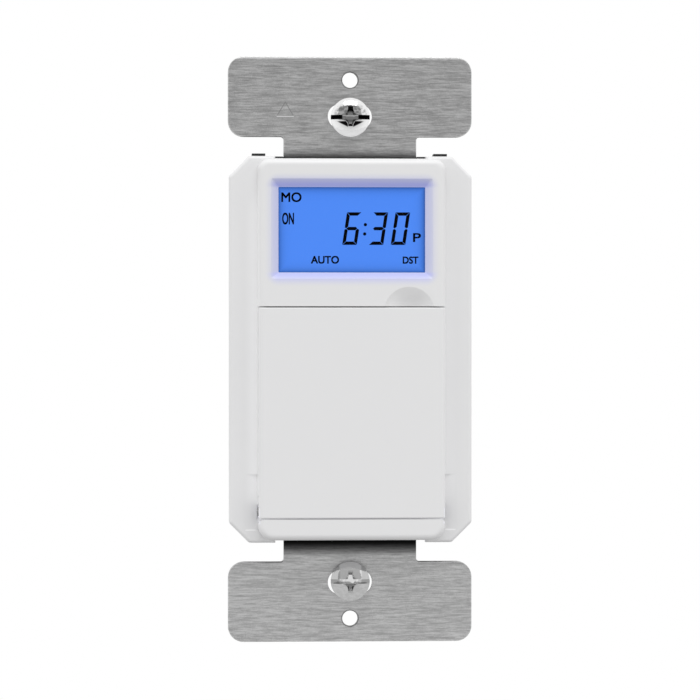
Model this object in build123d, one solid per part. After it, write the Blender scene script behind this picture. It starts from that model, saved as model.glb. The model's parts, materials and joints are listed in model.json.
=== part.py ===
"""In-wall timer light switch: steel strap, white cover with display and door, rear housing."""

from build123d import *
import math
import os

# Axes: X to the right, Y back into the wall, Z up. Y is zero at the strap's back face.

# Mounting strap, a sheet metal stamping whose ears stand clear of the cover's ends
strap_thickness = 1.3
strap_edge_round = 0.2
ear_overhang = 0.15
ear_height = 14.4
ear_corner_radius = 2.8
neck_length = 3.544
neck_width = 23.9
neck_fillet = 0.6
strap_window_side_margin = 0.5
strap_window_end_margin = 10.26
strap_window_radius = 1.5
device_slot_rise = 3.72
device_slot_length = 8.0
device_slot_height = 4.5
wallplate_hole_rise = 10.22
wallplate_hole_radius = 1.4

# Ground tab, bent back from the strap's left rail
ground_tab_width = 8.0
ground_tab_length = 11.0
ground_tab_setback = 2.9
ground_tab_relief = 0.6
ground_bend_radius = 0.4
ground_z = -18.0
ground_screw_radius = 1.9
ground_screw_y = 6.2
ground_head_radius = 3.6
ground_head_height = 2.0
ground_washer_height = 0.7
ground_screw_tail = 1.0
ground_hexagon_radius = 3.1
ground_hexagon_side_count = 6

# Device screws that hold the strap to the wall box, with slot and cross in the head
device_screw_drop = 0.25
device_screw_radius = 1.75
device_screw_neck_radius = 1.4
device_screw_length = 22.0
device_head_radius = 3.5
device_head_height = 2.2
device_head_round = 1.3
device_slot_width = 0.75
device_slot_depth = 0.55
cross_arm_width = 1.0
cross_arm_reach = 1.9
cross_depth = 1.4
cross_taper_degrees = 14

# Front cover
flange_thickness = 2.1
flange_chamfer = 3.6
flange_corner_round = 0.8
flange_edge_round = 0.6
face_end_margin = 0.75
notch_width = 27.0
notch_depth = 0.4
wing_width = 5.2
bezel_side = 3.525
bezel_top = 5.0
bezel_chin = 6.02
rim_height = 3.7
face_wall = 1.6
face_top_radius = 1.9
face_bottom_radius = 2.6
face_edge_round = 1.1
face_draft_degrees = 1.5
side_wall = 1.5
end_wall = 1.7
wing_pocket_width = 2.6
wing_pocket_depth = 0.45
wing_pocket_above = 4.45
wing_pocket_below = 5.5
cover_boss_radius = 2.4
cover_boss_height = 5.3

# Display window in the cover, with a bevel all round
view_width = 26.15
view_height = 15.2
bevel_side = 1.325
bevel_above = 1.47
bevel_below = 1.13
bevel_depth = 1.1
bevel_corner_radius = 0.3
view_corner_radius = 0.12

# Finger scoop in the bezel's lower edge
scoop_x = 10.15
scoop_radius = 4.54
scoop_drop = 1.08
scoop_depth = 1.1

# Display stack, from the window back to the board
window_thickness = 0.6
window_overlap = 1.2
lcd_gap = 0.1
lcd_side = 0.825
lcd_above = 1.35
lcd_below = 2.35
lcd_thickness = 1.6
lcd_ledge = 2.3
guide_thickness = 2.0
lamp_width = 1.6
lamp_length = 2.6
lamp_height = 1.2
lamp_gap = 0.15
lamp_spacing = 8.0
frame_wall = 1.05
fit_gap = 0.1
contact_strip_width = 1.5

# Display board
display_board_thickness = 1.2
board_gap = 0.3
board_side_gap = 0.2
board_screw_inset = 2.2
board_screw_rise = 0.52
board_screw_hinge_rise = 4.65
board_screw_radius = 0.7
board_screw_length = 2.6
board_screw_spare = 0.3
board_screw_head_radius = 1.35
board_screw_head_height = 0.9
board_boss_radius = 1.5
thread_clearance = 0.02

# Keys, their deck and the silicone mat
deck_thickness = 1.0
key_width = 8.4
key_height = 4.6
key_corner_radius = 0.8
key_edge_round = 0.3
key_clearance = 0.3
key_flange = 0.6
key_flange_thickness = 0.5
key_rest_gap = 0.05
key_door_gap = 0.6
key_column_x = 6.8
key_top_drop = 10.48
key_spacing = 7.0
key_row_count = 3
key_foot = 13.05
reset_drop = 4.8
mat_web = 0.6
mat_side_margin = 3.7
mat_top_margin = 2.6
dome_height = 0.7
dome_radius = 2.1
dome_top_radius = 1.5
dome_hollow_radius = 1.2
dome_hollow_depth = 0.8
reset_radius = 1.1
reset_flange_radius = 1.9
reset_recess = 0.1
override_drop = 5.5
override_pad_radius = 2.0
override_hole_clearance = 0.4
override_nub_radius = 1.4
override_nub_height = 0.35
override_gap = 0.05

# Door, hinged at its lower end
door_thickness = 1.7
door_seam = 0.2
door_edge_round = 0.25
door_side_round = 0.9
door_press_degrees = 0.8
door_open_degrees = 95.0
door_tilt_spare_degrees = 0.2
door_seat_gap = 0.12
hinge_depth = 3.0
hinge_drop = 3.2
hinge_sweep_clearance = 0.12
hinge_side_clearance = 0.2
hinge_lug_width = 1.6
hinge_lug_gap = 0.2
hinge_lug_radius = 1.6
hinge_lug_clearance = 0.3
trunnion_radius = 0.75
trunnion_clearance = 0.05
trunnion_setback = 0.3
hinge_ring_gap = 0.1
hinge_shelf = 0.9
latch_x = 9.2
latch_drop = 2.48
latch_width = 3.0
latch_thickness = 0.8
latch_length = 2.4
latch_clearance = 0.35

# Rear housing, which shows as a dark rim above the cover's upper end
housing_side_setback = 0.6
housing_end_setback = 0.25
housing_lift = 0.25
housing_back_room = 4.3
housing_wall = 1.8
housing_back_wall = 1.8
housing_back_round = 1.2
housing_lip_wall = 0.6
housing_lip_clearance = 0.1
corner_lug_inset = 5.4
corner_lug_width = 2.4
corner_lug_height = 0.6
corner_lug_depth = 3.0
post_side_inset = 5.8
post_end_inset = 5.05
post_radius = 3.6
post_gap = 0.2
post_seat = 6.0
housing_screw_radius = 1.4
housing_screw_clearance = 0.15
housing_screw_grip = 3.2
housing_head_radius = 2.5
housing_head_height = 2.0
counterbore_clearance = 0.2
board_rib_width = 2.0
board_rib_x = 8.0
board_rib_reach = 1.2

# Wiring terminals in side pockets of the rear housing
pocket_depth = 5.5
pocket_wall = 1.2
pocket_half_height = 5.0
pocket_half_depth = 5.2
terminal_y = 8.6
terminal_upper_z = 14.0
terminal_lower_z = 1.0
terminal_plate_thickness = 1.2
terminal_plate_height = 8.4
terminal_plate_depth = 8.8
terminal_tab_width = 3.0
terminal_tab_thickness = 0.8
terminal_tab_reach = 3.2
terminal_slot_clearance = 0.15
terminal_screw_radius = 2.0
terminal_head_radius = 3.6
terminal_head_height = 2.0
terminal_head_slot_width = 0.9
terminal_head_slot_depth = 0.8
terminal_screw_tail = 0.9
clamp_plate_size = 7.6
clamp_plate_thickness = 1.0
clamp_hole_clearance = 0.3
wire_gap = 1.0

# Relay on the back of the power board, sized round its iron, its leaf and its contacts
relay_z = 11.0
relay_side_room = 1.5
relay_end_room = 2.2
relay_top_room = 2.35
relay_cover_wall = 0.8
relay_base_thickness = 1.8
relay_base_gap = 0.05
iron_thickness = 1.2
iron_width = 11.0
yoke_setback = 1.8
yoke_foot_overreach = 4.2
core_radius = 1.6
core_reach = 7.8
pole_radius = 3.0
pole_thickness = 0.8
yoke_height = 11.4
bobbin_flange = 0.8
bobbin_flange_radius = 5.0
bobbin_tube_wall = 0.6
coil_gap = 0.1
winding_radius = 4.6
armature_thickness = 1.0
armature_overreach = 1.2
armature_open_degrees = 3.2
leaf_thickness = 0.25
leaf_width = 4.0
leaf_start = 4.0
leaf_overreach = 3.2
contact_radius = 1.2
contact_height = 0.6
contact_setback = 1.4
contact_gap = 0.1
fixed_blade_thickness = 0.6
fixed_blade_width = 4.4

# Power board
power_board_front = 6.0
power_board_thickness = 1.6
power_board_edge = 2.8
power_board_side_gap = 0.3
power_board_end_gap = 0.4
socket_depth = 4.4
socket_width = 2.6
header_x = 10.2
header_z = -7.0
header_spacing = 2.0
header_pin_count = 6
header_base_depth = 2.2
pin_width = 0.64
pin_hole_radius = 0.55
pin_socket_clearance = 0.08
pin_proud = 0.25
pin_reach = 5.2

# Parts on the back of the display board
chip_size = 9.0
chip_thickness = 1.4
chip_x = -2.0
chip_drop = 3.8
chip_leg_width = 0.35
chip_leg_spacing = 0.95
chip_leg_count = 8
chip_leg_reach = 1.0
chip_leg_thickness = 0.2
crystal_radius = 1.0
crystal_round = 0.25
crystal_length = 6.0
crystal_x = 8.0
cell_radius = 6.25
cell_thickness = 2.5
cell_edge = 1.65
cell_z = -8.0
cell_rim_round = 0.3
clip_width = 3.2
clip_thickness = 0.3
clip_foot = 1.6
clip_clearance = 0.1

# Other parts on the back of the power board
film_edge = 0.8
film_gap = 1.6
film_length = 18.0
film_height = 13.5
film_round = 0.6
smoothing_edge = 1.2
smoothing_end = 2.6
smoothing_gap = 2.0
smoothing_large_radius = 5.0
smoothing_large_height = 16.0
smoothing_small_radius = 4.0
smoothing_small_height = 11.5
smoothing_round = 0.5
varistor_z = -7.5
varistor_gap = 1.0
varistor_thickness = 4.0
varistor_round = 0.8
varistor_lift = 1.0
varistor_lead_radius = 0.4
fuse_edge = 3.2
fuse_z = -9.5
fuse_radius = 1.8
fuse_length = 8.0
fuse_cap_length = 1.6
fuse_cap_proud = 0.2
diode_x = 4.0
diode_top_z = -16.0
diode_spacing = 3.0
diode_radius = 1.2
diode_length = 4.4
diode_lead_radius = 0.35
diode_lead_length = 2.0
diode_count = 3

# A cut runs this far past the faces it goes through, and a joined piece this far into its neighbour
overrun = 1.0
bite = 0.2

# Relay, from its yoke's corner outwards
yoke_foot_length = core_reach + yoke_foot_overreach
armature_length = core_reach + pole_radius + armature_overreach
leaf_end = armature_length + leaf_overreach
contact_reach = leaf_end - contact_setback
blade_reach = contact_reach + contact_radius + fixed_blade_thickness
relay_length = yoke_setback + blade_reach + relay_end_room + relay_cover_wall
relay_width = iron_width + 2 * (relay_side_room + relay_cover_wall)
iron_base = relay_base_thickness
pole_face = iron_base + yoke_height
relay_height = pole_face + armature_thickness + leaf_thickness + relay_top_room + relay_cover_wall
yoke_u = -relay_length / 2 + yoke_setback
core_u = yoke_u + core_reach
contact_u = yoke_u + contact_reach

# Widths, from the display outwards and then inwards again to the power board
face_width = view_width + 2 * bezel_side
flange_width = face_width + 2 * wing_width
strap_width = flange_width + 2 * ear_overhang
housing_width = flange_width - 2 * housing_side_setback
pocket_floor = housing_width / 2 - pocket_depth
power_board_half = pocket_floor - pocket_wall - power_board_side_gap
recess_half = face_width / 2 - side_wall
mat_width = 2 * (recess_half - mat_side_margin)
bevel_width = view_width + 2 * bevel_side
lcd_width = view_width + 2 * lcd_side
strap_window_width = 2 * (recess_half - strap_window_side_margin)

# Heights, from the display and the keys outwards
bevel_height = view_height + bevel_above + bevel_below
lcd_height = view_height + lcd_above + lcd_below
bezel_height = bezel_top + view_height + bezel_chin
door_height = key_top_drop + (key_row_count - 1) * key_spacing + key_foot
hollow_radius = math.hypot(hinge_depth, hinge_drop) + hinge_sweep_clearance
hinge_gap = math.sqrt(hollow_radius**2 - hinge_depth**2) - hinge_drop
face_height = rim_height + hinge_gap + door_height + door_seam + bezel_height
flange_height = face_height + 2 * face_end_margin
ear_inner_z = flange_height / 2 + neck_length
device_slot_z = ear_inner_z + device_slot_rise
device_screw_z = device_slot_z - device_screw_drop
wallplate_hole_z = ear_inner_z + wallplate_hole_rise
housing_height = flange_height - 2 * housing_end_setback
housing_top = housing_height / 2 + housing_lift
post_x = flange_width / 2 - post_side_inset
corner_lug_x = flange_width / 2 - corner_lug_inset
post_z = flange_height / 2 - post_end_inset
cavity_top = face_height / 2 - end_wall
strap_window_height = flange_height - 2 * strap_window_end_margin

# Places on the cover's face
bezel_edge = face_height / 2 - bezel_height
door_top = bezel_edge - door_seam
door_bottom = door_top - door_height
view_z = face_height / 2 - bezel_top - view_height / 2
bevel_z = view_z + (bevel_above - bevel_below) / 2
lcd_z = view_z + (lcd_above - lcd_below) / 2
key_top_z = door_top - key_top_drop
override_z = door_top - override_drop
latch_z = door_top - latch_drop

# Planes along Y, from the strap forward
strap_front = -strap_thickness
flange_front = strap_front - flange_thickness
board_back = strap_front - board_gap
board_front = board_back - display_board_thickness
lcd_back = board_front - guide_thickness
lcd_middle = lcd_back - lcd_thickness / 2
lcd_front = lcd_back - lcd_thickness
window_back = lcd_front - lcd_gap
window_front = window_back - window_thickness
face_front = window_front - face_wall
mat_front = board_front - mat_web
key_back = mat_front - dome_height
deck_back = key_back - key_flange_thickness - key_rest_gap
deck_front = deck_back - deck_thickness
door_back = face_front + door_thickness
key_front = door_back + key_door_gap

# Door and hinge
hinge_z = door_bottom + hinge_drop
hinge_y = face_front + hinge_depth
corner_angle = math.atan2(hinge_drop, hinge_depth) + math.radians(door_open_degrees)
hollow_back = math.hypot(hinge_depth, hinge_drop) * -math.cos(corner_angle) + hinge_sweep_clearance
hollow_top = hinge_lug_radius + hinge_lug_clearance
hinge_ring_radius = hinge_depth - door_thickness - hinge_ring_gap
cavity_bottom = hinge_z + hollow_top + end_wall / 2
display_cavity_bottom = lcd_z - lcd_height / 2 - frame_wall - 2 * fit_gap

# Display board and the parts on its back
board_screw_x = recess_half - board_screw_inset
board_screw_top_z = door_top + board_screw_rise
board_screw_bottom_z = hinge_z + board_screw_hinge_rise
chip_z = view_z - chip_drop
crystal_z = chip_z

# Coin cell and its clip
clip_inner = cell_radius + clip_clearance
clip_outer = clip_inner + clip_thickness
cell_x = cell_edge + clip_foot + clip_outer - recess_half

# Rear housing and power board
housing_chamfer = flange_chamfer
web_margin = housing_lip_wall + housing_lip_clearance
web_width = housing_width - 2 * web_margin
web_height = housing_height - 2 * (web_margin + housing_lift)
power_board_back = power_board_front + power_board_thickness
housing_floor = power_board_back + relay_height + housing_back_room
housing_depth = housing_floor + housing_back_wall
power_board_half_height = post_z - post_radius - power_board_end_gap
relay_x = power_board_edge + relay_width / 2 - power_board_half
film_width = 2 * power_board_half - power_board_edge - relay_width - film_gap - film_edge
film_x = power_board_half - film_edge - film_width / 2
film_z = relay_z
fuse_x = power_board_half - fuse_edge
smoothing_small_x = smoothing_edge + smoothing_small_radius - power_board_half
smoothing_small_z = smoothing_end + smoothing_small_radius - power_board_half_height
smoothing_large_x = smoothing_edge + smoothing_large_radius - power_board_half
smoothing_large_z = smoothing_small_z + smoothing_small_radius + smoothing_gap + smoothing_large_radius
varistor_left = smoothing_large_x + smoothing_large_radius + varistor_gap
varistor_right = fuse_x - fuse_radius - fuse_cap_proud - varistor_gap
varistor_x = (varistor_left + varistor_right) / 2
varistor_radius = (varistor_right - varistor_left) / 2
varistor_lead_x = varistor_radius / 2


def block(x_range, y_range, z_range):
    """A box between two places along each axis."""
    corners = [(min(r), max(r) - min(r)) for r in (x_range, y_range, z_range)]
    (x, width), (y, depth), (z, height) = corners
    return Pos(x, y, z) * Box(width, depth, height, align=(Align.MIN, Align.MIN, Align.MIN))


def slab(outline, back, front):
    """An outline in X and Z made solid from its back plane to its front plane."""
    return extrude(Plane.XZ.offset(-back) * outline, amount=back - front)


def bar(profile, left, right):
    """A profile in Y and Z made solid along X."""
    return extrude(Plane.YZ.offset(left) * profile, amount=right - left)


def peg(radius, x, z, back, front):
    """A round pin along Y."""
    return slab(Pos(x, z) * Circle(radius), back, front)


def side_peg(radius, y, z, left, right):
    """A round pin along X."""
    return bar(Pos(y, z) * Circle(radius), left, right)


def both_sides(shape):
    """A shape and its mirror image across the middle plane."""
    return shape + mirror(shape, Plane.YZ)


def group(solids):
    """Separate solids that share one node."""
    return Compound(children=list(solids))


def cut_rectangle(width, height, chamfer_size):
    """A rectangle with four straight cut corners."""
    return chamfer(Rectangle(width, height).vertices(), chamfer_size)


def edges_on(shape, axis, place):
    """The edges that lie wholly in one plane across an axis."""
    return shape.edges().filter_by_position(axis, place - bite / 2, place + bite / 2)


def corner_places(x, z):
    """The four corners of a rectangle about the middle."""
    return [(x, z), (-x, z), (-x, -z), (x, -z)]


def ground_tab():
    """Tab bent back from the strap's left rail, with its tapped hole."""
    outer = -(housing_width / 2 - ground_tab_setback)
    inner = outer + strap_thickness
    root = inner + strap_thickness
    corners = [
        (root, strap_front),
        (outer, strap_front),
        (outer, ground_tab_length),
        (inner, ground_tab_length),
        (inner, 0),
        (root, 0),
    ]
    profile = make_face(Polyline(corners, close=True))
    bend_outside = profile.vertices().sort_by_distance((outer, strap_front, 0))[0]
    profile = fillet(bend_outside, strap_thickness + ground_bend_radius)
    bend_inside = profile.vertices().sort_by_distance((inner, 0, 0))[0]
    profile = fillet(bend_inside, ground_bend_radius)
    low = ground_z - ground_tab_width / 2
    tab = extrude(Plane.XY.offset(low) * profile, amount=ground_tab_width)
    hole_radius = ground_screw_radius + thread_clearance
    hole = side_peg(hole_radius, ground_screw_y, ground_z, outer - overrun, inner + bite)
    return tab - hole


def mounting_strap():
    """Flat strap with two ears, a wide web with a window, and the ground tab."""
    ear = Rectangle(strap_width, ear_height)
    ear = fillet(ear.vertices(), ear_corner_radius)
    ear_z = ear_inner_z + ear_height / 2
    neck = Rectangle(neck_width, 2 * ear_inner_z + 2 * bite)
    web = cut_rectangle(web_width, web_height, housing_chamfer - web_margin / 2)
    outline = Pos(0, ear_z) * ear + Pos(0, -ear_z) * ear + neck + web
    inner_corners = [
        v
        for v in outline.vertices()
        if abs(abs(v.Y) - ear_inner_z) < bite and abs(abs(v.X) - neck_width / 2) < bite
    ]
    outline = fillet(inner_corners, neck_fillet)
    strap = slab(outline, 0, strap_front)
    strap = fillet(edges_on(strap, Axis.Y, strap_front), strap_edge_round)
    holes = RectangleRounded(strap_window_width, strap_window_height, strap_window_radius)
    slot = SlotOverall(device_slot_length, device_slot_height)
    for z in (device_slot_z, -device_slot_z):
        holes += Pos(0, z) * slot
    for z in (wallplate_hole_z, -wallplate_hole_z):
        holes += Pos(0, z) * Circle(wallplate_hole_radius)
    for x, z in corner_places(post_x, post_z):
        holes += Pos(x, z) * Circle(cover_boss_radius + post_gap)
    strap -= slab(holes, overrun, strap_front - overrun)
    tab_outer = -(housing_width / 2 - ground_tab_setback)
    half = ground_tab_width / 2 + ground_tab_relief
    x_range = (-web_width / 2 - overrun, tab_outer + strap_thickness + ground_bend_radius)
    strap -= block(x_range, (strap_front - overrun, overrun), (ground_z - half, ground_z + half))
    return strap + ground_tab()


def device_screw_recess(z):
    """Slot across the head, and a tapered cross in its middle."""
    top = strap_front - device_head_height
    slot_half = device_slot_width / 2
    reach = device_head_radius + overrun
    slot = block((-reach, reach), (top - overrun, top + device_slot_depth), (z - slot_half, z + slot_half))
    across = Rectangle(2 * cross_arm_reach, cross_arm_width)
    upright = Rectangle(cross_arm_width, 2 * cross_arm_reach)
    outline = Pos(0, z) * (across + upright)
    start = Plane((0, top, 0), x_dir=(1, 0, 0), z_dir=(0, 1, 0))
    cross = extrude(start * mirror(outline, Plane.XZ), amount=cross_depth, taper=cross_taper_degrees)
    return slot + cross


def device_screw(z):
    """Domed combination head screw, waisted where the strap's slot holds it."""
    top = strap_front - device_head_height
    head = peg(device_head_radius, 0, z, strap_front, top)
    head = fillet(edges_on(head, Axis.Y, top), device_head_round)
    neck = peg(device_screw_neck_radius, 0, z, bite, strap_front - bite)
    shank = peg(device_screw_radius, 0, z, device_screw_length, 0)
    tip = edges_on(shank, Axis.Y, device_screw_length)
    shank = chamfer(tip, device_screw_radius - device_screw_neck_radius)
    return head - device_screw_recess(z) + neck + shank


def mounting_screws():
    """The two screws that fasten the strap to the wall box."""
    return group(device_screw(z) for z in (device_screw_z, -device_screw_z))


def ground_screw():
    """Hexagonal washer head screw in the ground tab."""
    outer = -(housing_width / 2 - ground_tab_setback)
    washer_face = outer - ground_washer_height
    head_face = outer - ground_head_height
    tail = outer + strap_thickness + ground_screw_tail
    shank = side_peg(ground_screw_radius, ground_screw_y, ground_z, outer - bite, tail)
    washer = side_peg(ground_head_radius, ground_screw_y, ground_z, washer_face, outer)
    hexagon = RegularPolygon(ground_hexagon_radius, ground_hexagon_side_count)
    hexagon = Pos(ground_screw_y, ground_z) * hexagon
    return washer + bar(hexagon, head_face, washer_face + bite) + shank


def flange():
    """Cover flange with cut corners and a shallow notch at each end."""
    outline = cut_rectangle(flange_width, flange_height, flange_chamfer)
    outline = fillet(outline.vertices(), flange_corner_round)
    notch = Rectangle(notch_width, 2 * notch_depth)
    outline -= Pos(0, flange_height / 2) * notch
    outline -= Pos(0, -flange_height / 2) * notch
    plate = slab(outline, strap_front, flange_front)
    rim = edges_on(plate, Axis.Y, flange_front)
    return fillet(rim, flange_edge_round)


def raised_face():
    """Raised part that stands through a wallplate, with drafted sides and softened edges."""
    outline = Rectangle(face_width, face_height)
    low = [v for v in outline.vertices() if v.Y < 0]
    outline = fillet(low, face_bottom_radius)
    high = [v for v in outline.vertices() if v.Y > face_height / 2 - bite]
    outline = fillet(high, face_top_radius)
    back = strap_front - bite
    start = Plane((0, face_front, 0), x_dir=(1, 0, 0), z_dir=(0, 1, 0))
    turned = mirror(outline, Plane.XZ)
    body = extrude(start * turned, amount=back - face_front, taper=-face_draft_degrees)
    return fillet(edges_on(body, Axis.Y, face_front), face_edge_round)


def display_opening():
    """Bevelled frame round the display, and the straight opening behind it."""
    outer = RectangleRounded(bevel_width, bevel_height, bevel_corner_radius)
    inner = RectangleRounded(view_width, view_height, view_corner_radius)
    rise = bevel_depth
    outer_face = Plane.XZ.offset(-face_front) * (Pos(0, bevel_z) * outer)
    inner_face = Plane.XZ.offset(-face_front - rise) * (Pos(0, view_z) * inner)
    bevel = loft([inner_face, outer_face])
    through = slab(Pos(0, view_z) * inner, window_front + overrun, face_front - overrun)
    return bevel + through


def finger_scoop():
    """Ball-shaped scoop that lets a finger reach the door's upper edge."""
    ball_radius = (scoop_radius**2 + scoop_depth**2) / (2 * scoop_depth)
    centre_y = face_front + scoop_depth - ball_radius
    ball = Pos(scoop_x, centre_y, bezel_edge - scoop_drop) * Sphere(ball_radius)
    limit = block(
        (scoop_x - ball_radius, scoop_x + ball_radius),
        (face_front - ball_radius, face_front + scoop_depth),
        (bezel_edge - bite, bezel_edge + ball_radius),
    )
    return ball & limit


def door_recess():
    """Space for the closed door, with room behind its upper end for the short inward press."""
    inner = block((-recess_half, recess_half), (face_front - overrun, deck_front), (hinge_z, bezel_edge))
    half = face_width / 2 + overrun
    seat = door_back + door_seat_gap
    full = block((-half, half), (face_front - overrun, seat), (hinge_z, bezel_edge))
    tilt = -(door_press_degrees + door_tilt_spare_degrees)
    pressed = Pos(0, hinge_y, hinge_z) * Rot(tilt, 0, 0) * Pos(0, -hinge_y, -hinge_z) * full
    limit = block((-half, half), (face_front - overrun, hinge_y), (hinge_z, bezel_edge))
    return inner + full + (pressed & limit)


def hinge_hollow():
    """Room for the door's lower end to swing inward, round the hinge line."""
    sweep = Pos(hinge_y, hinge_z) * Circle(hollow_radius)
    reach = 2 * hollow_radius
    back_limit = Pos(hinge_y + hollow_back - reach / 2, hinge_z + hollow_top - reach / 2)
    inner = sweep & (back_limit * Rectangle(reach, reach))
    hollow = bar(inner, -recess_half, recess_half)
    front_low = Pos(hinge_y - reach / 2, hinge_z - reach / 2) * Rectangle(reach, reach)
    back_low = Pos(hinge_y + reach / 2, hinge_z - hinge_shelf - reach / 2) * Rectangle(reach, reach)
    back_end = Pos(hinge_y + hollow_back - reach / 2, hinge_z) * Rectangle(reach, 2 * reach)
    ring = Pos(hinge_y, hinge_z) * Circle(hinge_ring_radius)
    wall_cut = (sweep & (front_low + (back_low & back_end))) - ring
    wall = bar(wall_cut, recess_half - bite, face_width / 2 + hinge_side_clearance)
    return hollow + both_sides(wall)


def trunnion_holes():
    """Bores in the side walls that carry the door's trunnions."""
    radius = trunnion_radius + trunnion_clearance
    return both_sides(side_peg(radius, hinge_y, hinge_z, recess_half - bite, face_width / 2 + overrun))


def wing_pockets():
    """Dished pockets in the flange beside the hinge, deepest at the raised wall."""
    wall = face_width / 2
    ramp_radius = (wing_pocket_width**2 + wing_pocket_depth**2) / (2 * wing_pocket_depth)
    x_range = (wall - bite, wall + wing_pocket_width)
    y_range = (flange_front - overrun, flange_front + wing_pocket_depth)
    low, high = hinge_z - wing_pocket_below, hinge_z + wing_pocket_above
    ramp = Pos(wall + wing_pocket_width, flange_front + ramp_radius) * Circle(ramp_radius)
    floor = extrude(Plane.XY.offset(low - overrun) * ramp, amount=high - low + 2 * overrun)
    pocket = block(x_range, y_range, (low, high)) - floor
    return both_sides(pocket) - raised_face()


def key_places():
    """Where the six programming keys stand, from the top left down."""
    names = ["mode", "clock", "program", "day", "hour", "minute"]
    places = []
    for i, name in enumerate(names):
        column = -key_column_x if i < key_row_count else key_column_x
        places.append((name, column, key_top_z - (i % key_row_count) * key_spacing))
    return places


def reset_place():
    """The reset button stands between the lower keys."""
    return 0, key_top_z - (key_row_count - 1) * key_spacing - reset_drop


def key_openings():
    """Holes through the deck for the keys, the reset button, the override pad and the latches."""
    grow = 2 * key_clearance
    hole = RectangleRounded(key_width + grow, key_height + grow, key_corner_radius + key_clearance)
    outline = None
    for _, x, z in key_places():
        place = Pos(x, z) * hole
        outline = place if outline is None else outline + place
    reset_x, reset_z = reset_place()
    outline += Pos(reset_x, reset_z) * Circle(reset_radius + key_clearance)
    outline += Pos(0, override_z) * Circle(override_pad_radius + override_hole_clearance)
    grow = 2 * latch_clearance
    latch = Rectangle(latch_width + grow, latch_thickness + grow)
    for x in (latch_x, -latch_x):
        outline += Pos(x, latch_z) * latch
    return slab(outline, deck_back + overrun, deck_front - overrun)


def cover_cavity():
    """Hollow behind the deck and the display, open at the back."""
    sides = (-recess_half, recess_half)
    back = strap_front + overrun
    behind_deck = block(sides, (deck_back, back), (cavity_bottom, cavity_top))
    behind_window = block(sides, (window_front, back), (display_cavity_bottom, cavity_top))
    return behind_deck + behind_window


def board_screw_places():
    """The four screws of the display board."""
    return [(s * board_screw_x, z) for z in (board_screw_top_z, board_screw_bottom_z) for s in (1, -1)]


def front_cover():
    """White cover: flange, raised face, bezel, deck with key holes, hinge bores and bosses."""
    cover = flange() + raised_face()
    cover -= door_recess()
    cover -= cover_cavity()
    cover -= hinge_hollow()
    cover -= display_opening()
    cover -= finger_scoop()
    cover -= wing_pockets()
    cover -= key_openings()
    for x, z in board_screw_places():
        cover += peg(board_boss_radius, x, z, board_front, deck_back - bite)
    boss_back = strap_front + cover_boss_height
    for x, z in corner_places(post_x, post_z):
        cover += peg(cover_boss_radius, x, z, boss_back, strap_front - bite)
    for x, z in board_screw_places():
        front = board_back - board_screw_length - board_screw_spare
        cover -= peg(board_screw_radius + thread_clearance, x, z, board_front + overrun, front)
    radius = housing_screw_radius + thread_clearance
    for x, z in corner_places(post_x, post_z):
        cover -= peg(radius, x, z, boss_back + overrun, boss_back - 2 * housing_screw_grip)
    return cover - trunnion_holes()


def display_window():
    """Clear window behind the bezel."""
    pane = Rectangle(view_width + 2 * window_overlap, view_height + 2 * window_overlap)
    return slab(Pos(0, view_z) * pane, window_back, window_front)


def lcd_panel():
    """Liquid crystal panel: the front glass reaches down past the rear one, to its contact ledge."""
    front = slab(Pos(0, lcd_z) * Rectangle(lcd_width, lcd_height), lcd_middle, lcd_front)
    rear_place = Pos(0, lcd_z + lcd_ledge / 2)
    rear = slab(rear_place * Rectangle(lcd_width, lcd_height - lcd_ledge), lcd_back, lcd_middle)
    return front + rear


def lcd_frame():
    """Moulded frame that holds the panel and the light guide on the board."""
    grow = 2 * fit_gap
    inner = Rectangle(lcd_width + grow, lcd_height + grow)
    grow += 2 * frame_wall
    outer = Rectangle(lcd_width + grow, lcd_height + grow)
    return slab(Pos(0, lcd_z) * (outer - inner), board_front, window_back)


def backlight_guide():
    """Clear block that spreads the lamps' light behind the panel."""
    lamp_room = lamp_width + 2 * lamp_gap
    left = -lcd_width / 2
    right = lcd_width / 2 - lamp_room
    low = lcd_z - lcd_height / 2 + lcd_ledge
    return block((left, right), (board_front, lcd_back), (low, lcd_z + lcd_height / 2))


def backlight_lamps():
    """Two side lamps that shine into the guide's edge."""
    right = lcd_width / 2 - lamp_gap
    lamps = []
    for z in (lcd_z - lamp_spacing / 2, lcd_z + lamp_spacing / 2):
        span = (z - lamp_length / 2, z + lamp_length / 2)
        lamps.append(block((right - lamp_width, right), (board_front, board_front - lamp_height), span))
    return group(lamps)


def contact_strip():
    """Elastomer strip that joins the panel's ledge to the board."""
    low = lcd_z - lcd_height / 2 + fit_gap
    half = lcd_width / 2 - contact_strip_width
    return block((-half, half), (board_front, lcd_middle), (low, low + contact_strip_width))


def header_places():
    """The board to board pins, in a row along Z."""
    start = header_z - header_spacing * (header_pin_count - 1) / 2
    return [(header_x, start + header_spacing * i) for i in range(header_pin_count)]


def display_board():
    """Board behind the display and the keys."""
    half = recess_half - board_side_gap
    low = cavity_bottom + board_side_gap
    board = block((-half, half), (board_back, board_front), (low, cavity_top - board_side_gap))
    for x, z in board_screw_places():
        hole = board_screw_radius + key_rest_gap
        board -= peg(hole, x, z, board_back + overrun, board_front - overrun)
    for x, z in header_places():
        board -= peg(pin_hole_radius, x, z, board_back + overrun, board_front - overrun)
    return board


def display_board_screws():
    """Small screws that hold the display board to the cover."""
    screws = []
    for x, z in board_screw_places():
        tip = board_back - board_screw_length
        shank = peg(board_screw_radius, x, z, board_back + bite, tip)
        head_back = board_back + board_screw_head_height
        screws.append(shank + peg(board_screw_head_radius, x, z, head_back, board_back))
    return group(screws)


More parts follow.
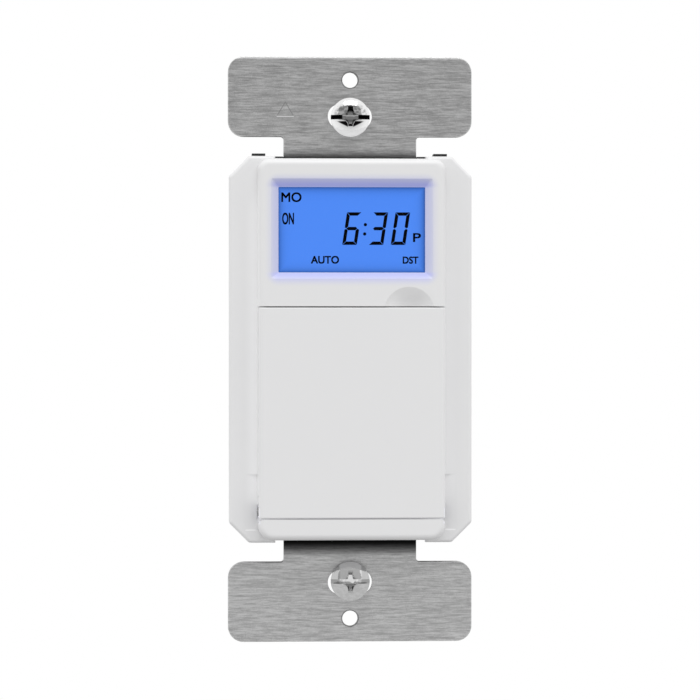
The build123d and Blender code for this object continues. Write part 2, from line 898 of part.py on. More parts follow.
def control_chip():
    """Square chip with short legs on all four sides."""
    lift = board_back + chip_leg_thickness
    half = chip_size / 2
    top = board_back + chip_thickness
    chip = block((chip_x - half, chip_x + half), (lift, top), (chip_z - half, chip_z + half))
    start = -chip_leg_spacing * (chip_leg_count - 1) / 2
    reach = half + chip_leg_reach
    legs_high = (board_back, board_back + 2 * chip_leg_thickness)
    for i in range(chip_leg_count):
        low = start + chip_leg_spacing * i - chip_leg_width / 2
        span = (low, low + chip_leg_width)
        across = [(chip_x - reach, chip_x - half + bite), (chip_x + half - bite, chip_x + reach)]
        for side in across:
            chip += block(side, legs_high, (chip_z + span[0], chip_z + span[1]))
        along = [(chip_z - reach, chip_z - half + bite), (chip_z + half - bite, chip_z + reach)]
        for side in along:
            chip += block((chip_x + span[0], chip_x + span[1]), legs_high, side)
    return chip


def clock_crystal():
    """Small can that lies on the board's back."""
    middle = board_back + crystal_radius
    profile = Pos(crystal_x, middle) * Circle(crystal_radius)
    low = crystal_z - crystal_length / 2
    can = extrude(Plane.XY.offset(low) * profile, amount=crystal_length)
    return fillet(edges_on(can, Axis.Z, low + crystal_length), crystal_round)


def backup_cell():
    """Coin cell that keeps the clock running."""
    back = board_back + cell_thickness
    cell = peg(cell_radius, cell_x, cell_z, back, board_back)
    return fillet(edges_on(cell, Axis.Y, back), cell_rim_round)


def cell_clip():
    """Spring metal bridge over the coin cell, with a foot at each end."""
    top = board_back + cell_thickness
    z_range = (cell_z - clip_width / 2, cell_z + clip_width / 2)
    bridge = block((cell_x - clip_outer, cell_x + clip_outer), (top, top + clip_thickness), z_range)
    for side in (-1, 1):
        leg = (cell_x + side * clip_inner, cell_x + side * clip_outer)
        bridge += block(leg, (board_back, top + clip_thickness), z_range)
        foot = (cell_x + side * clip_inner, cell_x + side * (clip_outer + clip_foot))
        bridge += block(foot, (board_back, board_back + clip_thickness), z_range)
    return bridge


def dome(x, z):
    """One collapsible dome of the silicone mat."""
    base = Plane.XZ.offset(-(mat_front + bite)) * (Pos(x, z) * Circle(dome_radius))
    tip = Plane.XZ.offset(-key_back) * (Pos(x, z) * Circle(dome_top_radius))
    return loft([base, tip])


def keypad_mat():
    """Silicone mat with a dome for each key and a tall pad that the door presses."""
    top = override_z + mat_top_margin
    bottom = cavity_bottom + board_side_gap
    half = mat_width / 2
    mat = block((-half, half), (board_front, mat_front), (bottom, top))
    places = [(x, z) for _, x, z in key_places()] + [reset_place()]
    for x, z in places:
        mat += dome(x, z)
    pad_front = door_back + override_nub_height + override_gap
    mat += peg(override_pad_radius, 0, override_z, mat_front + bite, pad_front)
    for x, z in places + [(0, override_z)]:
        mat -= peg(dome_hollow_radius, x, z, board_front + overrun, board_front - dome_hollow_depth)
    for x, z in board_screw_places():
        mat -= peg(board_boss_radius + key_clearance, x, z, board_front + overrun, mat_front - overrun)
    pin_room = pin_hole_radius + key_clearance
    for x, z in header_places():
        mat -= peg(pin_room, x, z, board_front + overrun, board_front - dome_hollow_depth)
    return mat


def key(x, z):
    """Programming key with a hidden flange behind the deck."""
    cap_outline = RectangleRounded(key_width, key_height, key_corner_radius)
    cap = slab(Pos(x, z) * cap_outline, key_back - bite, key_front)
    cap = fillet(edges_on(cap, Axis.Y, key_front), key_edge_round)
    grow = 2 * key_flange
    flange_outline = RectangleRounded(key_width + grow, key_height + grow, key_corner_radius + key_flange)
    return cap + slab(Pos(x, z) * flange_outline, key_back, key_back - key_flange_thickness)


def reset_button():
    """Round button set just under the deck's face."""
    x, z = reset_place()
    cap = peg(reset_radius, x, z, key_back - bite, deck_front + reset_recess)
    return cap + peg(reset_flange_radius, x, z, key_back, key_back - key_flange_thickness)


def hinge_lug():
    """Lug on the back of the door with its trunnion, on the right side."""
    outer = recess_half - hinge_lug_gap
    inner = outer - hinge_lug_width
    arm = Pos((door_back - bite + hinge_y) / 2, hinge_z)
    profile = arm * Rectangle(hinge_y - door_back + bite, 2 * hinge_lug_radius)
    profile += Pos(hinge_y, hinge_z) * Circle(hinge_lug_radius)
    lug = bar(profile, inner, outer)
    return lug + side_peg(trunnion_radius, hinge_y, hinge_z, inner, face_width / 2 - trunnion_setback)


def door():
    """Flip-down door: plate, hinge lugs with trunnions, latch fingers and a press nub."""
    middle = (door_top + door_bottom) / 2
    outline = Pos(0, middle) * Rectangle(face_width, door_height)
    plate = slab(outline, door_back, face_front)
    plate = fillet(edges_on(plate, Axis.Y, face_front).filter_by(Axis.Z), door_side_round)
    plate = fillet(edges_on(plate, Axis.Y, face_front).filter_by(Axis.X), door_edge_round)
    plate += both_sides(hinge_lug())
    plate += peg(override_nub_radius, 0, override_z, door_back + override_nub_height, door_back - bite)
    for x in (latch_x, -latch_x):
        sides = (x - latch_width / 2, x + latch_width / 2)
        height = (latch_z - latch_thickness / 2, latch_z + latch_thickness / 2)
        plate += block(sides, (door_back - bite, door_back + latch_length), height)
    return plate


def header_base():
    """Plastic bar of the board to board header."""
    length = header_spacing * header_pin_count
    low, high = header_z - length / 2, header_z + length / 2
    x_range = (header_x - socket_width / 2, header_x + socket_width / 2)
    base = block(x_range, (board_back, board_back + header_base_depth), (low, high))
    for x, z in header_places():
        base -= peg(pin_hole_radius, x, z, board_back + header_base_depth + overrun, board_back - overrun)
    return base


def header_pin_row():
    """Square pins that run from the display board into the socket."""
    half = pin_width / 2
    front = board_front - pin_proud
    back = board_back + header_base_depth + pin_reach / 2
    places = header_places()
    return group(block((x - half, x + half), (front, back), (z - half, z + half)) for x, z in places)


def header_socket():
    """Socket on the power board that takes the header's pins."""
    length = header_spacing * header_pin_count
    low, high = header_z - length / 2, header_z + length / 2
    x_range = (header_x - socket_width / 2, header_x + socket_width / 2)
    front = power_board_front - socket_depth
    socket = block(x_range, (front, power_board_front), (low, high))
    half = pin_width / 2 + pin_socket_clearance
    depth = board_back + header_base_depth + pin_reach / 2 + pin_proud
    for x, z in header_places():
        socket -= block((x - half, x + half), (front - overrun, depth), (z - half, z + half))
    return socket


def power_board():
    """Mains board in the rear housing."""
    half = power_board_half
    z_range = (-power_board_half_height, power_board_half_height)
    return block((-half, half), (power_board_front, power_board_back), z_range)


def relay_block(u_range, w_range, v_range):
    """A box in the relay: u up along Z, w across along X, v away from the board."""
    x_range = [relay_x + w for w in w_range]
    y_range = [power_board_back + v for v in v_range]
    z_range = [relay_z + u for u in u_range]
    return block(x_range, y_range, z_range)


def relay_peg(radius, u, v_low, v_high):
    """A round pin in the relay, standing off the board."""
    return peg(radius, relay_x, relay_z + u, power_board_back + v_high, power_board_back + v_low)


def relay_cover():
    """Relay cover, open towards the board."""
    length, width = relay_length / 2, relay_width / 2
    outer = relay_block((-length, length), (-width, width), (0, relay_height))
    outer = fillet(outer.edges().filter_by(Axis.Y), relay_cover_wall)
    length -= relay_cover_wall
    width -= relay_cover_wall
    top = relay_height - relay_cover_wall
    return outer - relay_block((-length, length), (-width, width), (-overrun, top))


def relay_base():
    """Plate that closes the relay cover at the board."""
    length = relay_length / 2 - relay_cover_wall - relay_base_gap
    width = relay_width / 2 - relay_cover_wall - relay_base_gap
    return relay_block((-length, length), (-width, width), (0, relay_base_thickness))


def relay_yoke():
    """Iron angle with the core and its pole face."""
    half = iron_width / 2
    leg = relay_block((yoke_u, yoke_u + iron_thickness), (-half, half), (iron_base, pole_face))
    foot_top = iron_base + iron_thickness
    foot = relay_block((yoke_u, yoke_u + yoke_foot_length), (-half, half), (iron_base, foot_top))
    core = relay_peg(core_radius, core_u, foot_top - bite, pole_face)
    return leg + foot + core + relay_peg(pole_radius, core_u, pole_face - pole_thickness, pole_face)


def bobbin_span():
    """Lowest and highest places of the bobbin on the core."""
    return iron_base + iron_thickness, pole_face - pole_thickness - coil_gap


def relay_bobbin():
    """Plastic bobbin round the core."""
    low, high = bobbin_span()
    tube = core_radius + coil_gap + bobbin_tube_wall
    bobbin = relay_peg(tube, core_u, low, high)
    for start in (low, high - bobbin_flange):
        bobbin += relay_peg(bobbin_flange_radius, core_u, start, start + bobbin_flange)
    return bobbin - relay_peg(core_radius + coil_gap, core_u, low - overrun, high + overrun)


def relay_winding():
    """Copper winding between the bobbin's flanges."""
    low, high = bobbin_span()
    low += bobbin_flange
    high -= bobbin_flange
    hole = core_radius + coil_gap + bobbin_tube_wall + thread_clearance
    return relay_peg(winding_radius, core_u, low, high) - relay_peg(
        hole, core_u, low - overrun, high + overrun
    )


def opened(shape):
    """Turns a closed relay piece about the yoke's edge to where it rests open."""
    y, z = power_board_back + pole_face, relay_z + yoke_u
    return Pos(0, y, z) * Rot(-armature_open_degrees, 0, 0) * Pos(0, -y, -z) * shape


def relay_armature():
    """Iron plate that rocks on the yoke's edge."""
    half = iron_width / 2
    top = pole_face + armature_thickness
    return opened(relay_block((yoke_u, yoke_u + armature_length), (-half, half), (pole_face, top)))


def relay_moving_contact():
    """Leaf on the armature with the moving contact button."""
    half = leaf_width / 2
    base = pole_face + armature_thickness
    leaf = relay_block((yoke_u + leaf_start, yoke_u + leaf_end), (-half, half), (base, base + leaf_thickness))
    button = relay_peg(contact_radius, contact_u, base - contact_height, base + bite)
    return opened(leaf + button)


def relay_fixed_contact():
    """Fixed blade with its contact button under the moving one."""
    button_top = pole_face + armature_thickness - contact_height - contact_gap
    shelf_top = button_top - contact_height
    shelf_base = shelf_top - fixed_blade_thickness
    outer = contact_u + contact_radius + fixed_blade_thickness
    inner = contact_u - contact_radius
    half = fixed_blade_width / 2
    shelf = relay_block((inner, outer), (-half, half), (shelf_base, shelf_top))
    blade = relay_block((outer - fixed_blade_thickness, outer), (-half, half), (iron_base, shelf_top))
    return shelf + blade + relay_peg(contact_radius, contact_u, shelf_top - bite, button_top)


def film_capacitor():
    """Box capacitor across the mains."""
    x_range = (film_x - film_width / 2, film_x + film_width / 2)
    z_range = (film_z - film_length / 2, film_z + film_length / 2)
    top = power_board_back + film_height
    box = block(x_range, (power_board_back, top), z_range)
    return fillet(edges_on(box, Axis.Y, top), film_round)


def smoothing_capacitors():
    """Two round cans that smooth the low voltage supply."""
    large = (smoothing_large_radius, smoothing_large_x, smoothing_large_z, smoothing_large_height)
    small = (smoothing_small_radius, smoothing_small_x, smoothing_small_z, smoothing_small_height)
    cans = []
    for radius, x, z, height in (large, small):
        top = power_board_back + height
        can = peg(radius, x, z, top, power_board_back)
        cans.append(fillet(edges_on(can, Axis.Y, top), smoothing_round))
    return group(cans)


def varistor():
    """Disc that absorbs surges, standing on two leads."""
    middle = power_board_back + varistor_lift + varistor_radius
    profile = Pos(varistor_x, middle) * Circle(varistor_radius)
    low = varistor_z - varistor_thickness / 2
    disc = extrude(Plane.XY.offset(low) * profile, amount=varistor_thickness)
    disc = fillet(disc.edges().filter_by(GeomType.CIRCLE), varistor_round)
    for side in (-1, 1):
        x = varistor_x + side * varistor_lead_x
        disc += peg(varistor_lead_radius, x, varistor_z, middle, power_board_back)
    return disc


def fuse():
    """Cylindrical fuse with a cap at each end."""
    middle = power_board_back + fuse_radius + fuse_cap_proud

    def section(radius, start, length):
        profile = Pos(fuse_x, middle) * Circle(radius)
        return extrude(Plane.XY.offset(start) * profile, amount=length)

    low = fuse_z - fuse_length / 2
    body = section(fuse_radius, low, fuse_length)
    for start in (low, low + fuse_length - fuse_cap_length):
        body += section(fuse_radius + fuse_cap_proud, start, fuse_cap_length)
    return body


def rectifier_diodes():
    """Row of axial diodes that lie on the board."""
    middle = power_board_back + diode_radius
    pieces = []
    for i in range(diode_count):
        z = diode_top_z - diode_spacing * i
        start = diode_x - diode_length / 2
        end = diode_x + diode_length / 2
        body = side_peg(diode_radius, middle, z, start, end)
        lead = side_peg(diode_lead_radius, middle, z, start - diode_lead_length, end + diode_lead_length)
        pieces.append(body + lead)
    return group(pieces)


def terminal_places():
    """The four wiring terminals, as side and height."""
    return {
        "line": (-1, terminal_upper_z),
        "load": (1, terminal_upper_z),
        "neutral": (-1, terminal_lower_z),
        "traveller": (1, terminal_lower_z),
    }


def side_block(side, x_range, y_range, z_range):
    """A box given on the right side, moved to the left for a side of minus one."""
    return block([side * x for x in x_range], y_range, z_range)


def terminal_plate(side, z):
    """Tapped plate with a tab that reaches the power board."""
    face = pocket_floor + terminal_plate_thickness
    half_height, half_depth = terminal_plate_height / 2, terminal_plate_depth / 2
    y_range = (terminal_y - half_depth, terminal_y + half_depth)
    plate = side_block(side, (pocket_floor, face), y_range, (z - half_height, z + half_height))
    tab_y = (power_board_front - terminal_tab_thickness, power_board_front)
    half_tab = terminal_tab_width / 2
    tab_x = (power_board_half - terminal_tab_reach, pocket_floor + bite)
    plate += side_block(side, tab_x, tab_y, (z - half_tab, z + half_tab))
    ends = sorted((side * (pocket_floor - overrun), side * (face + overrun)))
    return plate - side_peg(terminal_screw_radius + thread_clearance, terminal_y, z, *ends)


def clamp_face():
    """Where the clamp plate's outer face and the screw head's underside meet."""
    return pocket_floor + terminal_plate_thickness + wire_gap + clamp_plate_thickness


def clamp_plates():
    """Square plates that press the wires under the screw heads."""
    plates = []
    half = clamp_plate_size / 2
    for side, z in terminal_places().values():
        x_range = (clamp_face() - clamp_plate_thickness, clamp_face())
        plate = side_block(side, x_range, (terminal_y - half, terminal_y + half), (z - half, z + half))
        ends = sorted((side * (x_range[0] - overrun), side * (x_range[1] + overrun)))
        plates.append(plate - side_peg(terminal_screw_radius + clamp_hole_clearance, terminal_y, z, *ends))
    return group(plates)


def terminal_screws():
    """Slotted screws of the wiring terminals."""
    screws = []
    for side, z in terminal_places().values():
        head_face = clamp_face() + terminal_head_height
        tail = pocket_floor - terminal_screw_tail
        shank_ends = sorted((side * tail, side * (clamp_face() + bite)))
        head_ends = sorted((side * clamp_face(), side * head_face))
        screw = side_peg(terminal_screw_radius, terminal_y, z, *shank_ends)
        screw += side_peg(terminal_head_radius, terminal_y, z, *head_ends)
        half = terminal_head_slot_width / 2
        slot_x = (head_face - terminal_head_slot_depth, head_face + overrun)
        slot_y = (terminal_y - terminal_head_radius - overrun, terminal_y + terminal_head_radius + overrun)
        screws.append(screw - side_block(side, slot_x, slot_y, (z - half, z + half)))
    return group(screws)


def pocket_ranges(z, front):
    """Depth and height ranges of a side pocket."""
    return (front, terminal_y + pocket_half_depth), (z - pocket_half_height, z + pocket_half_height)


def grown(span, amount):
    """A range widened at both ends."""
    return min(span) - amount, max(span) + amount


def housing_outline(inset):
    """The housing's outline with its cut corners, drawn in by an inset."""
    width, height = housing_width - 2 * inset, housing_height - 2 * inset
    return cut_rectangle(width, height, housing_chamfer - inset / 2)


def rear_housing():
    """Dark housing: hollow shell with corner posts, board ribs, terminal pockets and a front lip."""
    lifted = Pos(0, housing_lift)
    shell = slab(lifted * housing_outline(0), housing_depth, strap_front)
    shell = fillet(edges_on(shell, Axis.Y, housing_depth), housing_back_round)
    shell -= slab(lifted * housing_outline(housing_wall), housing_floor, strap_front - overrun)
    shell -= slab(lifted * housing_outline(housing_lip_wall), 0, strap_front - overrun)
    neck_room = Rectangle(neck_width + 2 * housing_lip_clearance, housing_height + 2 * overrun)
    shell -= slab(neck_room, 0, strap_front - overrun)
    lug = Pos(corner_lug_x, housing_top) * Rectangle(corner_lug_width, 2 * corner_lug_height)
    shell += both_sides(slab(lug, corner_lug_depth, 0))
    post_front = strap_front + cover_boss_height + post_gap
    for x, z in corner_places(post_x, post_z):
        shell += peg(post_radius, x, z, housing_floor + bite, post_front)
    rib_top = housing_height / 2 - housing_wall + bite
    rib_low = power_board_half_height - board_rib_reach
    for x in (board_rib_x, -board_rib_x):
        sides = (x - board_rib_width / 2, x + board_rib_width / 2)
        for end in (1, -1):
            z_range = (end * rib_low, end * rib_top + housing_lift)
            shell += block(sides, (power_board_back, housing_floor + bite), z_range)
    pockets = [(side, z, terminal_y - pocket_half_depth) for side, z in terminal_places().values()]
    pockets.append((-1, ground_z, 0))
    inner_face = pocket_floor - pocket_wall
    for side, z, front in pockets:
        y_range, z_range = pocket_ranges(z, front)
        back_and_front = (max(front - pocket_wall, 0), max(y_range) + pocket_wall)
        x_range = (inner_face, housing_width / 2 - housing_wall + bite)
        shell += side_block(side, x_range, back_and_front, grown(z_range, pocket_wall))
    for side, z, front in pockets:
        open_front = front if front > 0 else strap_front - overrun
        y_range, z_range = pocket_ranges(z, open_front)
        shell -= side_block(side, (pocket_floor, housing_width / 2 + overrun), y_range, z_range)
    for side, z in terminal_places().values():
        ends = sorted((side * (inner_face - overrun), side * (pocket_floor + overrun)))
        shell -= side_peg(terminal_screw_radius + clamp_hole_clearance, terminal_y, z, *ends)
        half = terminal_tab_width / 2 + terminal_slot_clearance
        tab_y = (power_board_front - terminal_tab_thickness, power_board_front)
        slot_x, slot_y = (inner_face - overrun, pocket_floor + bite), grown(tab_y, terminal_slot_clearance)
        shell -= side_block(side, slot_x, slot_y, (z - half, z + half))
    ends = sorted((-(inner_face - overrun), -(pocket_floor + overrun)))
    shell -= side_peg(ground_screw_radius + clamp_hole_clearance, ground_screw_y, ground_z, *ends)
    bore = housing_screw_radius + housing_screw_clearance
    counterbore = housing_head_radius + counterbore_clearance
    for x, z in corner_places(post_x, post_z):
        shell -= peg(bore, x, z, housing_depth, post_front - overrun)
        shell -= peg(counterbore, x, z, housing_depth + overrun, post_front + post_seat)
    return shell


def housing_screws():
    """Screws that draw the rear housing and the cover together through the strap."""
    seat = strap_front + cover_boss_height + post_gap + post_seat
    tip = strap_front + cover_boss_height - housing_screw_grip
    screws = []
    for x, z in corner_places(post_x, post_z):
        shank = peg(housing_screw_radius, x, z, seat + bite, tip)
        screws.append(shank + peg(housing_head_radius, x, z, seat + housing_head_height, seat))
    return group(screws)


PIECES = {
    "mounting_strap": mounting_strap,
    "mounting_screws": mounting_screws,
    "ground_screw": ground_screw,
    "front_cover": front_cover,
    "display_window": display_window,
    "lcd_panel": lcd_panel,
    "lcd_frame": lcd_frame,
    "backlight_guide": backlight_guide,
    "backlight_lamps": backlight_lamps,
    "contact_strip": contact_strip,
    "display_board": display_board,
    "display_board_screws": display_board_screws,
    "control_chip": control_chip,
    "clock_crystal": clock_crystal,
    "backup_cell": backup_cell,
    "cell_clip": cell_clip,
    "keypad_mat": keypad_mat,
    "reset_button": reset_button,
    "door": door,
    "header_base": header_base,
    "header_pins": header_pin_row,
    "header_socket": header_socket,
    "power_board": power_board,
    "relay_cover": relay_cover,
    "relay_base": relay_base,
    "relay_yoke": relay_yoke,
    "relay_bobbin": relay_bobbin,
    "relay_winding": relay_winding,
    "relay_armature": relay_armature,
    "relay_moving_contact": relay_moving_contact,
    "relay_fixed_contact": relay_fixed_contact,
    "film_capacitor": film_capacitor,
    "smoothing_capacitors": smoothing_capacitors,
    "varistor": varistor,
    "fuse": fuse,
    "rectifier_diodes": rectifier_diodes,
    "clamp_plates": clamp_plates,
    "terminal_screws": terminal_screws,
    "rear_housing": rear_housing,
    "housing_screws": housing_screws,
}

os.makedirs("parts", exist_ok=True)
for node, make in PIECES.items():
    export_step(make(), f"parts/{node}.step")
for key_name, key_x, key_z in key_places():
    export_step(key(key_x, key_z), f"parts/{key_name}_key.step")
for terminal_name, (terminal_side, terminal_z) in terminal_places().items():
    export_step(terminal_plate(terminal_side, terminal_z), f"parts/{terminal_name}_terminal.step")
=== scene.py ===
"""Studio scene of an in-wall timer light switch: its finishes, display segments and cut screws."""

import json
import math
from types import SimpleNamespace

import bmesh
import bpy
from mathutils import Matrix, Vector


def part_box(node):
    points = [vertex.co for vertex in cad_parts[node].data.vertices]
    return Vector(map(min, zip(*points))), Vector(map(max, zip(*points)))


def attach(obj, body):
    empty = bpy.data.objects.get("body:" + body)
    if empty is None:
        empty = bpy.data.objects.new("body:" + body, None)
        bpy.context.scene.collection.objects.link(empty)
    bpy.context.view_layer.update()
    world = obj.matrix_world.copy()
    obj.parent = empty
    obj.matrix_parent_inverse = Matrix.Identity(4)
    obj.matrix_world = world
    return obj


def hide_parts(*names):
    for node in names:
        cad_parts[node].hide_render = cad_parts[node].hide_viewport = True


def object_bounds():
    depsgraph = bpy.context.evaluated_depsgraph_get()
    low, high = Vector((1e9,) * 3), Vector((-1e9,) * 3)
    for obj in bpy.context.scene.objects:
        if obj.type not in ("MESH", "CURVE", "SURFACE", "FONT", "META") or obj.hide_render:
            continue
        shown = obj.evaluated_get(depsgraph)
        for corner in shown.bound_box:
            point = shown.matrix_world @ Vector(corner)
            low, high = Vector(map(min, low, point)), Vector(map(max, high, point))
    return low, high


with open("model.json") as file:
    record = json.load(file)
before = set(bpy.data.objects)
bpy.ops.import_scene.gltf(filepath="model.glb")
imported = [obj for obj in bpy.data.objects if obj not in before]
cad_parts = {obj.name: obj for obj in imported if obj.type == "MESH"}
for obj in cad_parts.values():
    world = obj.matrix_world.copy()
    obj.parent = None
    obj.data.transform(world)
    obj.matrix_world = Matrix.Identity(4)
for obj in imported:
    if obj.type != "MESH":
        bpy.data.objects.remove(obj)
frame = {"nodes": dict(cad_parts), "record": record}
cad_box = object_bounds()
NODES = frame["nodes"]
SLOT_OF = {part["node"]: part["material_slot"] for part in frame["record"]["subparts"]}

MM = 0.001
WHITE = (1.0, 1.0, 1.0)
BLACK = (0.0, 0.0, 0.0)

# The view: the picture's width in pixels, and how many of them show one millimetre of the strap
PICTURE_PIXELS = 700
PIXELS_PER_MM = 5.558
SENSOR_WIDTH_MM = 36.0
CAMERA_DISTANCE = 586 * MM
CAMERA_LEFT_DEGREES = 3.1
CAMERA_UP_DEGREES = 0.3
AIM_X = 0.0 * MM
AIM_Z = -0.117 * MM

# The studio. The card stands before the object, and only gloss mirrors it.
FLOOR_DROP = 20 * MM
FLOOR_SIZE = 4.0
FLOOR_GREY = 0.80
FLOOR_ROUGHNESS = 0.9
SHADOW_REACH = 50 * MM
SHADOW_END = 90 * MM
WORLD_LEVEL = 0.80
WORLD_RISE = 0.42
SOFTBOX_PLACE = (0.05, -0.75, 1.05)
SOFTBOX_SIZE = (0.9, 0.5)
SOFTBOX_WATTS = 4.0
CARD_DISTANCE = 0.8
CARD_WIDTH = 1.6
CARD_TOP = 1.0
CARD_GREY = 0.42

# Ranges of noise between which a pattern turns from one tone to the other: soft, wide and hard
SOFT_NOISE = (0.3, 0.7)
WIDE_NOISE = (0.25, 0.75)
HARD_NOISE = (0.38, 0.62)

# Where a paint differs between two halves, it turns over within this of the middle
HALF_TURN = 1 * MM

# Straight scratches: detail and roughness of their noise, and how far apart it is from row to row
SCRATCH_DETAIL = 3.0
SCRATCH_ROUGHNESS = 0.62
SCRATCH_ROW_STEP = 7.31

# Moulded plastics and metals
CLOUD_SIZE = 7 * MM
MOULDED_ROUGHNESS_PLAY = 0.05
METAL_UNEVEN = 0.06
METAL_GRAIN_DETAIL = 3.0
METAL_ROUGHNESS_SHARES = (0.8, 1.2)
METAL_RELIEF = 0.001 * MM

# Strap steel. Scratches: height of a row, length of a scratch, share in the brushing.
STRAP_GREY = (0.49, 0.49, 0.49)
STRAP_ROUGHNESS = (0.36, 0.50)
SCRATCHES = ((0.14 * MM, 3.5 * MM, 0.5), (0.37 * MM, 7.0 * MM, 0.25))
SPECK_SIZE = (0.22 * MM, 0.22 * MM, 0.10 * MM)
SPECK_SHARE = 0.25
STREAK_TONES = (0.74, 1.28)
STREAK_RELIEF = 0.006 * MM
FACE_DEPTHS = (-0.9 * MM, -1.2 * MM)

# Painted shade on the burred rims round the wallplate holes, and the ragged painted highlight along
# the top of the upper ear
HOLE_Z = 48.42 * MM
BURR_RADII = (1.58 * MM, 1.78 * MM)
BURR_GRAIN = 0.3 * MM
BURR_RAGGED = 0.25 * MM
BURR_SHADE_TONE = 0.35
EAR_TOP = 52.6 * MM
EDGE_WIDTH = 0.28 * MM
EDGE_GRAIN = 0.9 * MM
EDGE_RAGGED = 0.3 * MM
EDGE_HIGHLIGHT_TONE = 1.9
EDGE_HIGHLIGHT_STRENGTH = 0.6

# The plain triangle stamped in the upper ear with painted shade along its outline, and the painted
# highlight of the line under it
TRIANGLE_X = -11.65 * MM
TRIANGLE_BASE = 42.0 * MM
TRIANGLE_HALF_WIDTH = 1.45 * MM
TRIANGLE_HEIGHT = 2.45 * MM
STAMP_LINE = 0.08 * MM
STAMP_SOFT = 0.05 * MM
STAMP_SHADE_STRENGTH = 0.8
STAMP_SHADE_TONE = 0.62
FOOT_DROP = 0.12 * MM
FOOT_LINE = 0.09 * MM
FOOT_SOFT = 0.04 * MM
FOOT_HALF_WIDTH = 1.55 * MM
FOOT_HIGHLIGHT_TONE = 1.7

# Shade of the strap's necks beside the cover
UPPER_SHADE = (-0.45 * MM, 1.5 * MM)
UPPER_SHADE_TONE = 0.12
LOWER_SHADE_REACH = 2.6 * MM
LOWER_SHADE_TONE = 0.01

# Heads of the device screws, with a slot and a star recess
SCREW_HEAD_RADIUS = 3.5 * MM
SCREW_HEAD_HEIGHT = 2.2 * MM
SCREW_HEAD_SLOPE_DEGREES = 38
SCREW_SLOT_WIDTH = 0.78 * MM
SCREW_SLOT_DEPTH = 0.9 * MM
SCREW_RECESS_DEPTH = 1.0 * MM
SCREW_EDGE = 0.05 * MM
CUT_OVERRUN = 0.2 * MM
STAR_SHRINK = 0.6
STAR_QUARTER_MM = (
    (0.47, 1.95),
    (0.52, 1.5),
    (0.66, 1.0),
    (0.95, 0.62),
    (1.22, 0.40),
    (1.46, 0.32),
)

# Shanks of the device screws: a neck, the thread and a tapered tip
NECK_RADIUS = 1.4 * MM
NECK_END = 1.5 * MM
NECK_BITE = 0.1 * MM
THREAD_ROOT = 1.32 * MM
THREAD_CREST = 1.75 * MM
THREAD_PITCH = 0.794 * MM
THREAD_START = 1.4 * MM
THREAD_SPARE = 1.2 * MM
THREAD_SPARE_TURNS = 3
TIP_RADIUS = 1.0 * MM
TIP_LENGTH = 1.3 * MM

# Chromed heads: their plating, and the painted shade in their cuts
CHROME = (0.86, 0.86, 0.86)
CHROME_ROUGHNESS = 0.10
CHROME_RELIEF = 0.02 * MM
CHROME_GRAIN = (0.9 * MM, 0.9 * MM, 0.6 * MM)
HEAD_FOOT_SOFT = 0.05 * MM
STAR_AREA = 0.66 * MM * MM
STAR_RISE_LEAST = 0.1 * MM
STAR_ARM_LEAST = 0.47 * MM
STAR_SOFT = 0.05 * MM
STAR_RADII = (2.05 * MM, 1.95 * MM)
STAR_SIDES = (1.55 * MM, 1.4 * MM)
SLOT_HALF_HEIGHT = 0.40 * MM
SLOT_SOFT = 0.02 * MM
SLOT_STARTS = (1.3 * MM, 1.55 * MM)
LOWER_STAR_SHADE, LOWER_SLOT_SHADE = 0.8, 0.6
UPPER_SLOT_SHADE = 0.002

# Arms of the upper head's star: from one height to another, and the painted shade there
UPPER_ARM = (0.7 * MM, 1.2 * MM, 0.42, 0.01)
LOWER_ARM = (-0.7 * MM, -1.1 * MM, 0.0, 0.55)

# Painted reflections on the domes of the heads: a mottled patch on the upper one, tones by radius,
# width and noise, and the heights between which the tones above the slot turn to those below it
PATCH_RADII = (3.3 * MM, 2.6 * MM)
PATCH_HEIGHTS = (2.5 * MM, 1.9 * MM)
PATCH_REFLECTION_TONES = (0.42, 0.95)
UPPER_DOME_BELOW = (1.2 * MM, 3.3 * MM, 0.6, 1.0)
LOWER_DOME_ABOVE = (1.7 * MM, 2.2 * MM, 1.0, 0.62)
LOWER_DOME_BELOW = (0.50, 0.58)
DOME_TURN = (-0.35 * MM, -0.5 * MM)

# Painted dark reflection in a wedge under the slot of the upper head, whose foot rises outwards
WEDGE_TOP = (-0.68 * MM, -0.8 * MM)
WEDGE_FOOT = 2.16 * MM
WEDGE_FOOT_RISE = 0.5
WEDGE_FOOT_SOFT = 0.3 * MM
WEDGE_SIDES = (3.2 * MM, 1.6 * MM)
WEDGE_REFLECTION_TONE = 0.006

# Glow of the display painted on the bevel round it, and the bevel's painted shade: above, beside,
# below
WINDOW_HIDDEN = 1.2 * MM
GLOW_REACH = 2.7 * MM
GLOW_BLUE = (0.0, 0.06, 1.0)
GLOW = (0.31, 0.18, 0.37)
RECESS_SHADE = (0.46, 0.22, 0.32)
BEVEL_TURN_INSIDE = 0.3 * MM
BEVEL_TURN_OUTSIDE = 0.4 * MM

# White plastic of the cover, and the light painted in the hollow and the corner at the door's hinge
COVER_WHITE = (0.80, 0.80, 0.805)
COVER_ROUGHNESS = 0.38
COVER_TEXTURE = {"grain_mm": 0.22, "depth_mm": 0.0016, "uneven": 0.006}
HOLLOW_SIDES = (16.6 * MM, 16.5 * MM)
HOLLOW_Z, HOLLOW_HALF_HEIGHT = -29.6 * MM, 1.4 * MM
HOLLOW_DEPTHS = (-8.5 * MM, -8.2 * MM)
HOLLOW_LIGHT = 0.15
CORNER_X, CORNER_HALF_WIDTH = 16.2 * MM, 0.38 * MM
CORNER_Z, CORNER_HALF_HEIGHT = -29.0 * MM, 1.2 * MM
CORNER_DEPTHS = (-7.2 * MM, -6.6 * MM)
CORNER_LIGHT = 0.2
HINGE_SOFT = 0.2 * MM
CORNER_SOFT = 0.04 * MM
